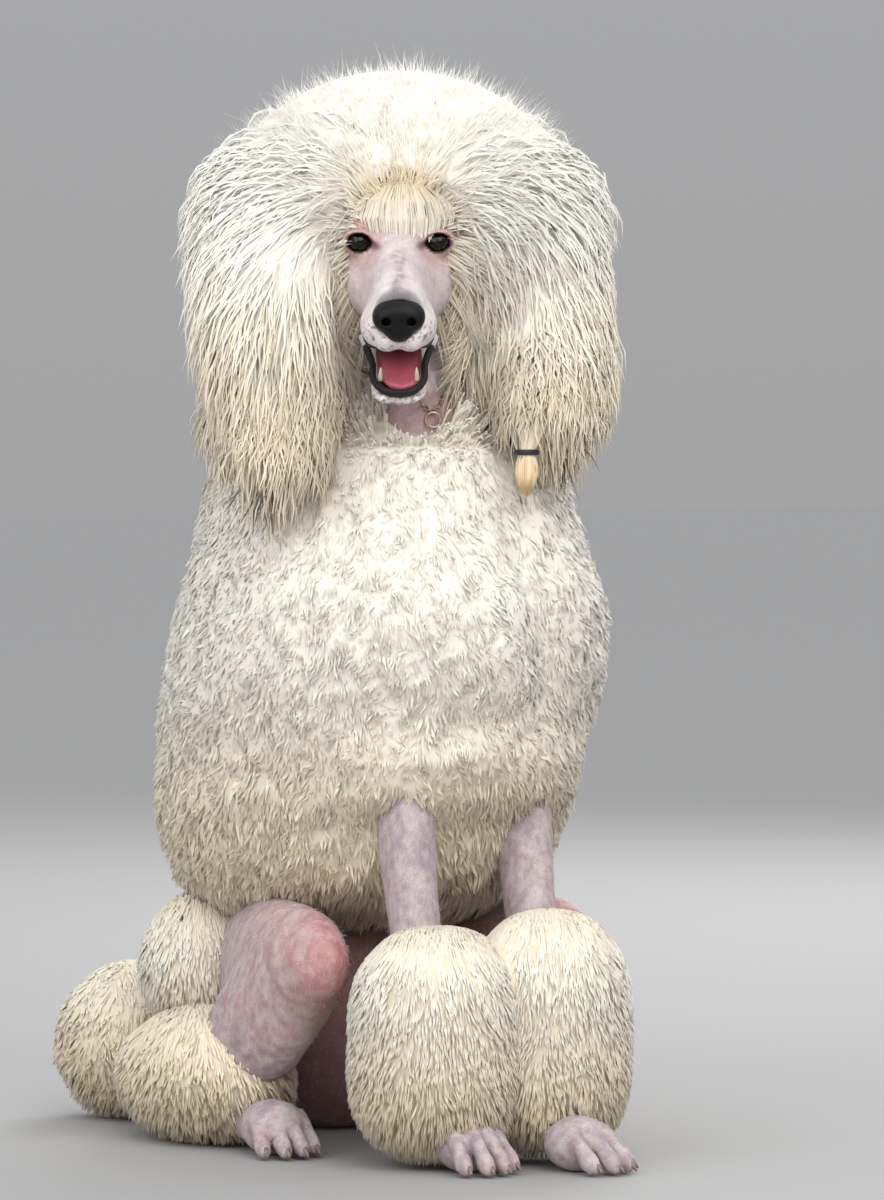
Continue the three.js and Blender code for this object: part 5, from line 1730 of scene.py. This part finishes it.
def bands():
    for name, rows in (
        ("brow_band", ring_rows(head_point(*BROW_BAND), HEAD_LEFT, HEAD_UP, (9, 9), 2.2, 24)),
        ("ear_band", ring_rows(EAR_BAND, np.eye(3)[0], np.eye(3)[1], (8, 8), 2.2, 24)),
    ):
        mesh_object(name, *swept(rows, 10, True), "band", (name,))


# Stage, light and camera.
def stage():
    size = 60.0
    mesh = bpy.data.meshes.new("floor")
    corners = [(-size, -size, 0), (size, -size, 0), (size, size, 0), (-size, size, 0)]
    mesh.from_pydata(corners, [], [(0, 1, 2, 3)])
    floor = bpy.data.objects.new("floor", mesh)
    bpy.context.scene.collection.objects.link(floor)
    material, _, shader = principled("floor", 0.9)
    shader.inputs["Base Color"].default_value = (0.345, 0.34, 0.335, 1)
    mesh.materials.append(material)


def place_and_aim(name, data, place, look):
    thing = bpy.data.objects.new(name, data)
    thing.location = place
    thing.rotation_mode = "QUATERNION"
    thing.rotation_quaternion = Vector(look).to_track_quat("-Z", "Y")
    bpy.context.scene.collection.objects.link(thing)
    return thing


# Each lamp: name, place in metres, size, power and colour, aimed at the dog's middle.
LAMPS = [
    ("key", (-0.6, -3.6, 2.9), 3.4, 104, (1, 0.99, 0.97)),
    ("fill", (-3.6, -1.6, 1.8), 3.0, 58, (0.98, 0.985, 1)),
    ("back", (2.2, 2.0, 2.4), 2.0, 70, (1, 1, 1)),
]
# A grey horizon under a wide, bright ceiling of light.
SKY = [(0.0, (0.37, 0.37, 0.375)), (0.14, (0.40, 0.405, 0.415)), (0.5, (0.98, 1.0, 1.03))]


def lights():
    for name, place, size, power, colour in LAMPS:
        light = bpy.data.lights.new(name, "AREA")
        light.size, light.energy, light.color = size, power, colour
        place_and_aim(name, light, place, Vector((0, 0, 0.5)) - Vector(place))
    world = bpy.data.worlds.new("studio")
    world.use_nodes = True
    tree = world.node_tree
    where = tree.nodes.new("ShaderNodeTexCoord")
    axes = tree.nodes.new("ShaderNodeSeparateXYZ")
    tree.links.new(where.outputs["Generated"], axes.inputs["Vector"])
    shade = ramp(tree, axes.outputs["Z"], SKY)
    tree.links.new(shade, tree.nodes["Background"].inputs["Color"])
    bpy.context.scene.world = world


# The camera stands where the photo was taken from: 4.3 m off, 30 degrees to the dog's right.
CAMERA_DISTANCE = 4300
CAMERA_AIM = np.array([0.0, 0.0, 548.0])
FOCAL_PIXELS = 5500
PHOTO_SIZE = (884, 1200)
AIM_PIXEL = (532, 470)
SENSOR = 36


def camera():
    right = np.array([-VIEW_SIDE[1], VIEW_SIDE[0], 0])
    off_x = (PHOTO_SIZE[0] / 2 - AIM_PIXEL[0]) / FOCAL_PIXELS
    off_y = (AIM_PIXEL[1] - PHOTO_SIZE[1] / 2) / FOCAL_PIXELS
    data = bpy.data.cameras.new("camera")
    data.sensor_width = SENSOR
    data.lens = FOCAL_PIXELS * SENSOR / PHOTO_SIZE[1]
    place = metres(CAMERA_AIM + VIEW_SIDE * CAMERA_DISTANCE)
    look = -VIEW_SIDE + right * off_x + UP * off_y
    bpy.context.scene.camera = place_and_aim("camera", data, place, look)
    bpy.context.scene.view_settings.view_transform = "Standard"


body = skin()
eyes()
nose()
tongue()
lips()
teeth()
claws()
wool = undercoat()
jacket()
shoulders()
topknot()
neck_mane()
mane_flow(wool)
for k, side in enumerate(SIDES):
    ear_fringe(side, 91 + k)
for k, side in enumerate(SIDES):
    cheek_curls(side, 95 + k)
ear_tail()
for k, side in enumerate(SIDES):
    bracelet(side, 71 + k)
for k, side in enumerate(SIDES):
    round_coat(f"hock_{side}", HOCKS[side], 3600, 81 + k, 3.2)
for k, side in enumerate(SIDES):
    round_coat(f"rosette_{side}", ROSETTES[side], 2500, 83 + k, 2.0)
round_coat("tail_pompon", POMPON, 3600, 85, 4.5)
brow()
fuzz(body)
collar(body)
bands()
stage()
lights()
camera()
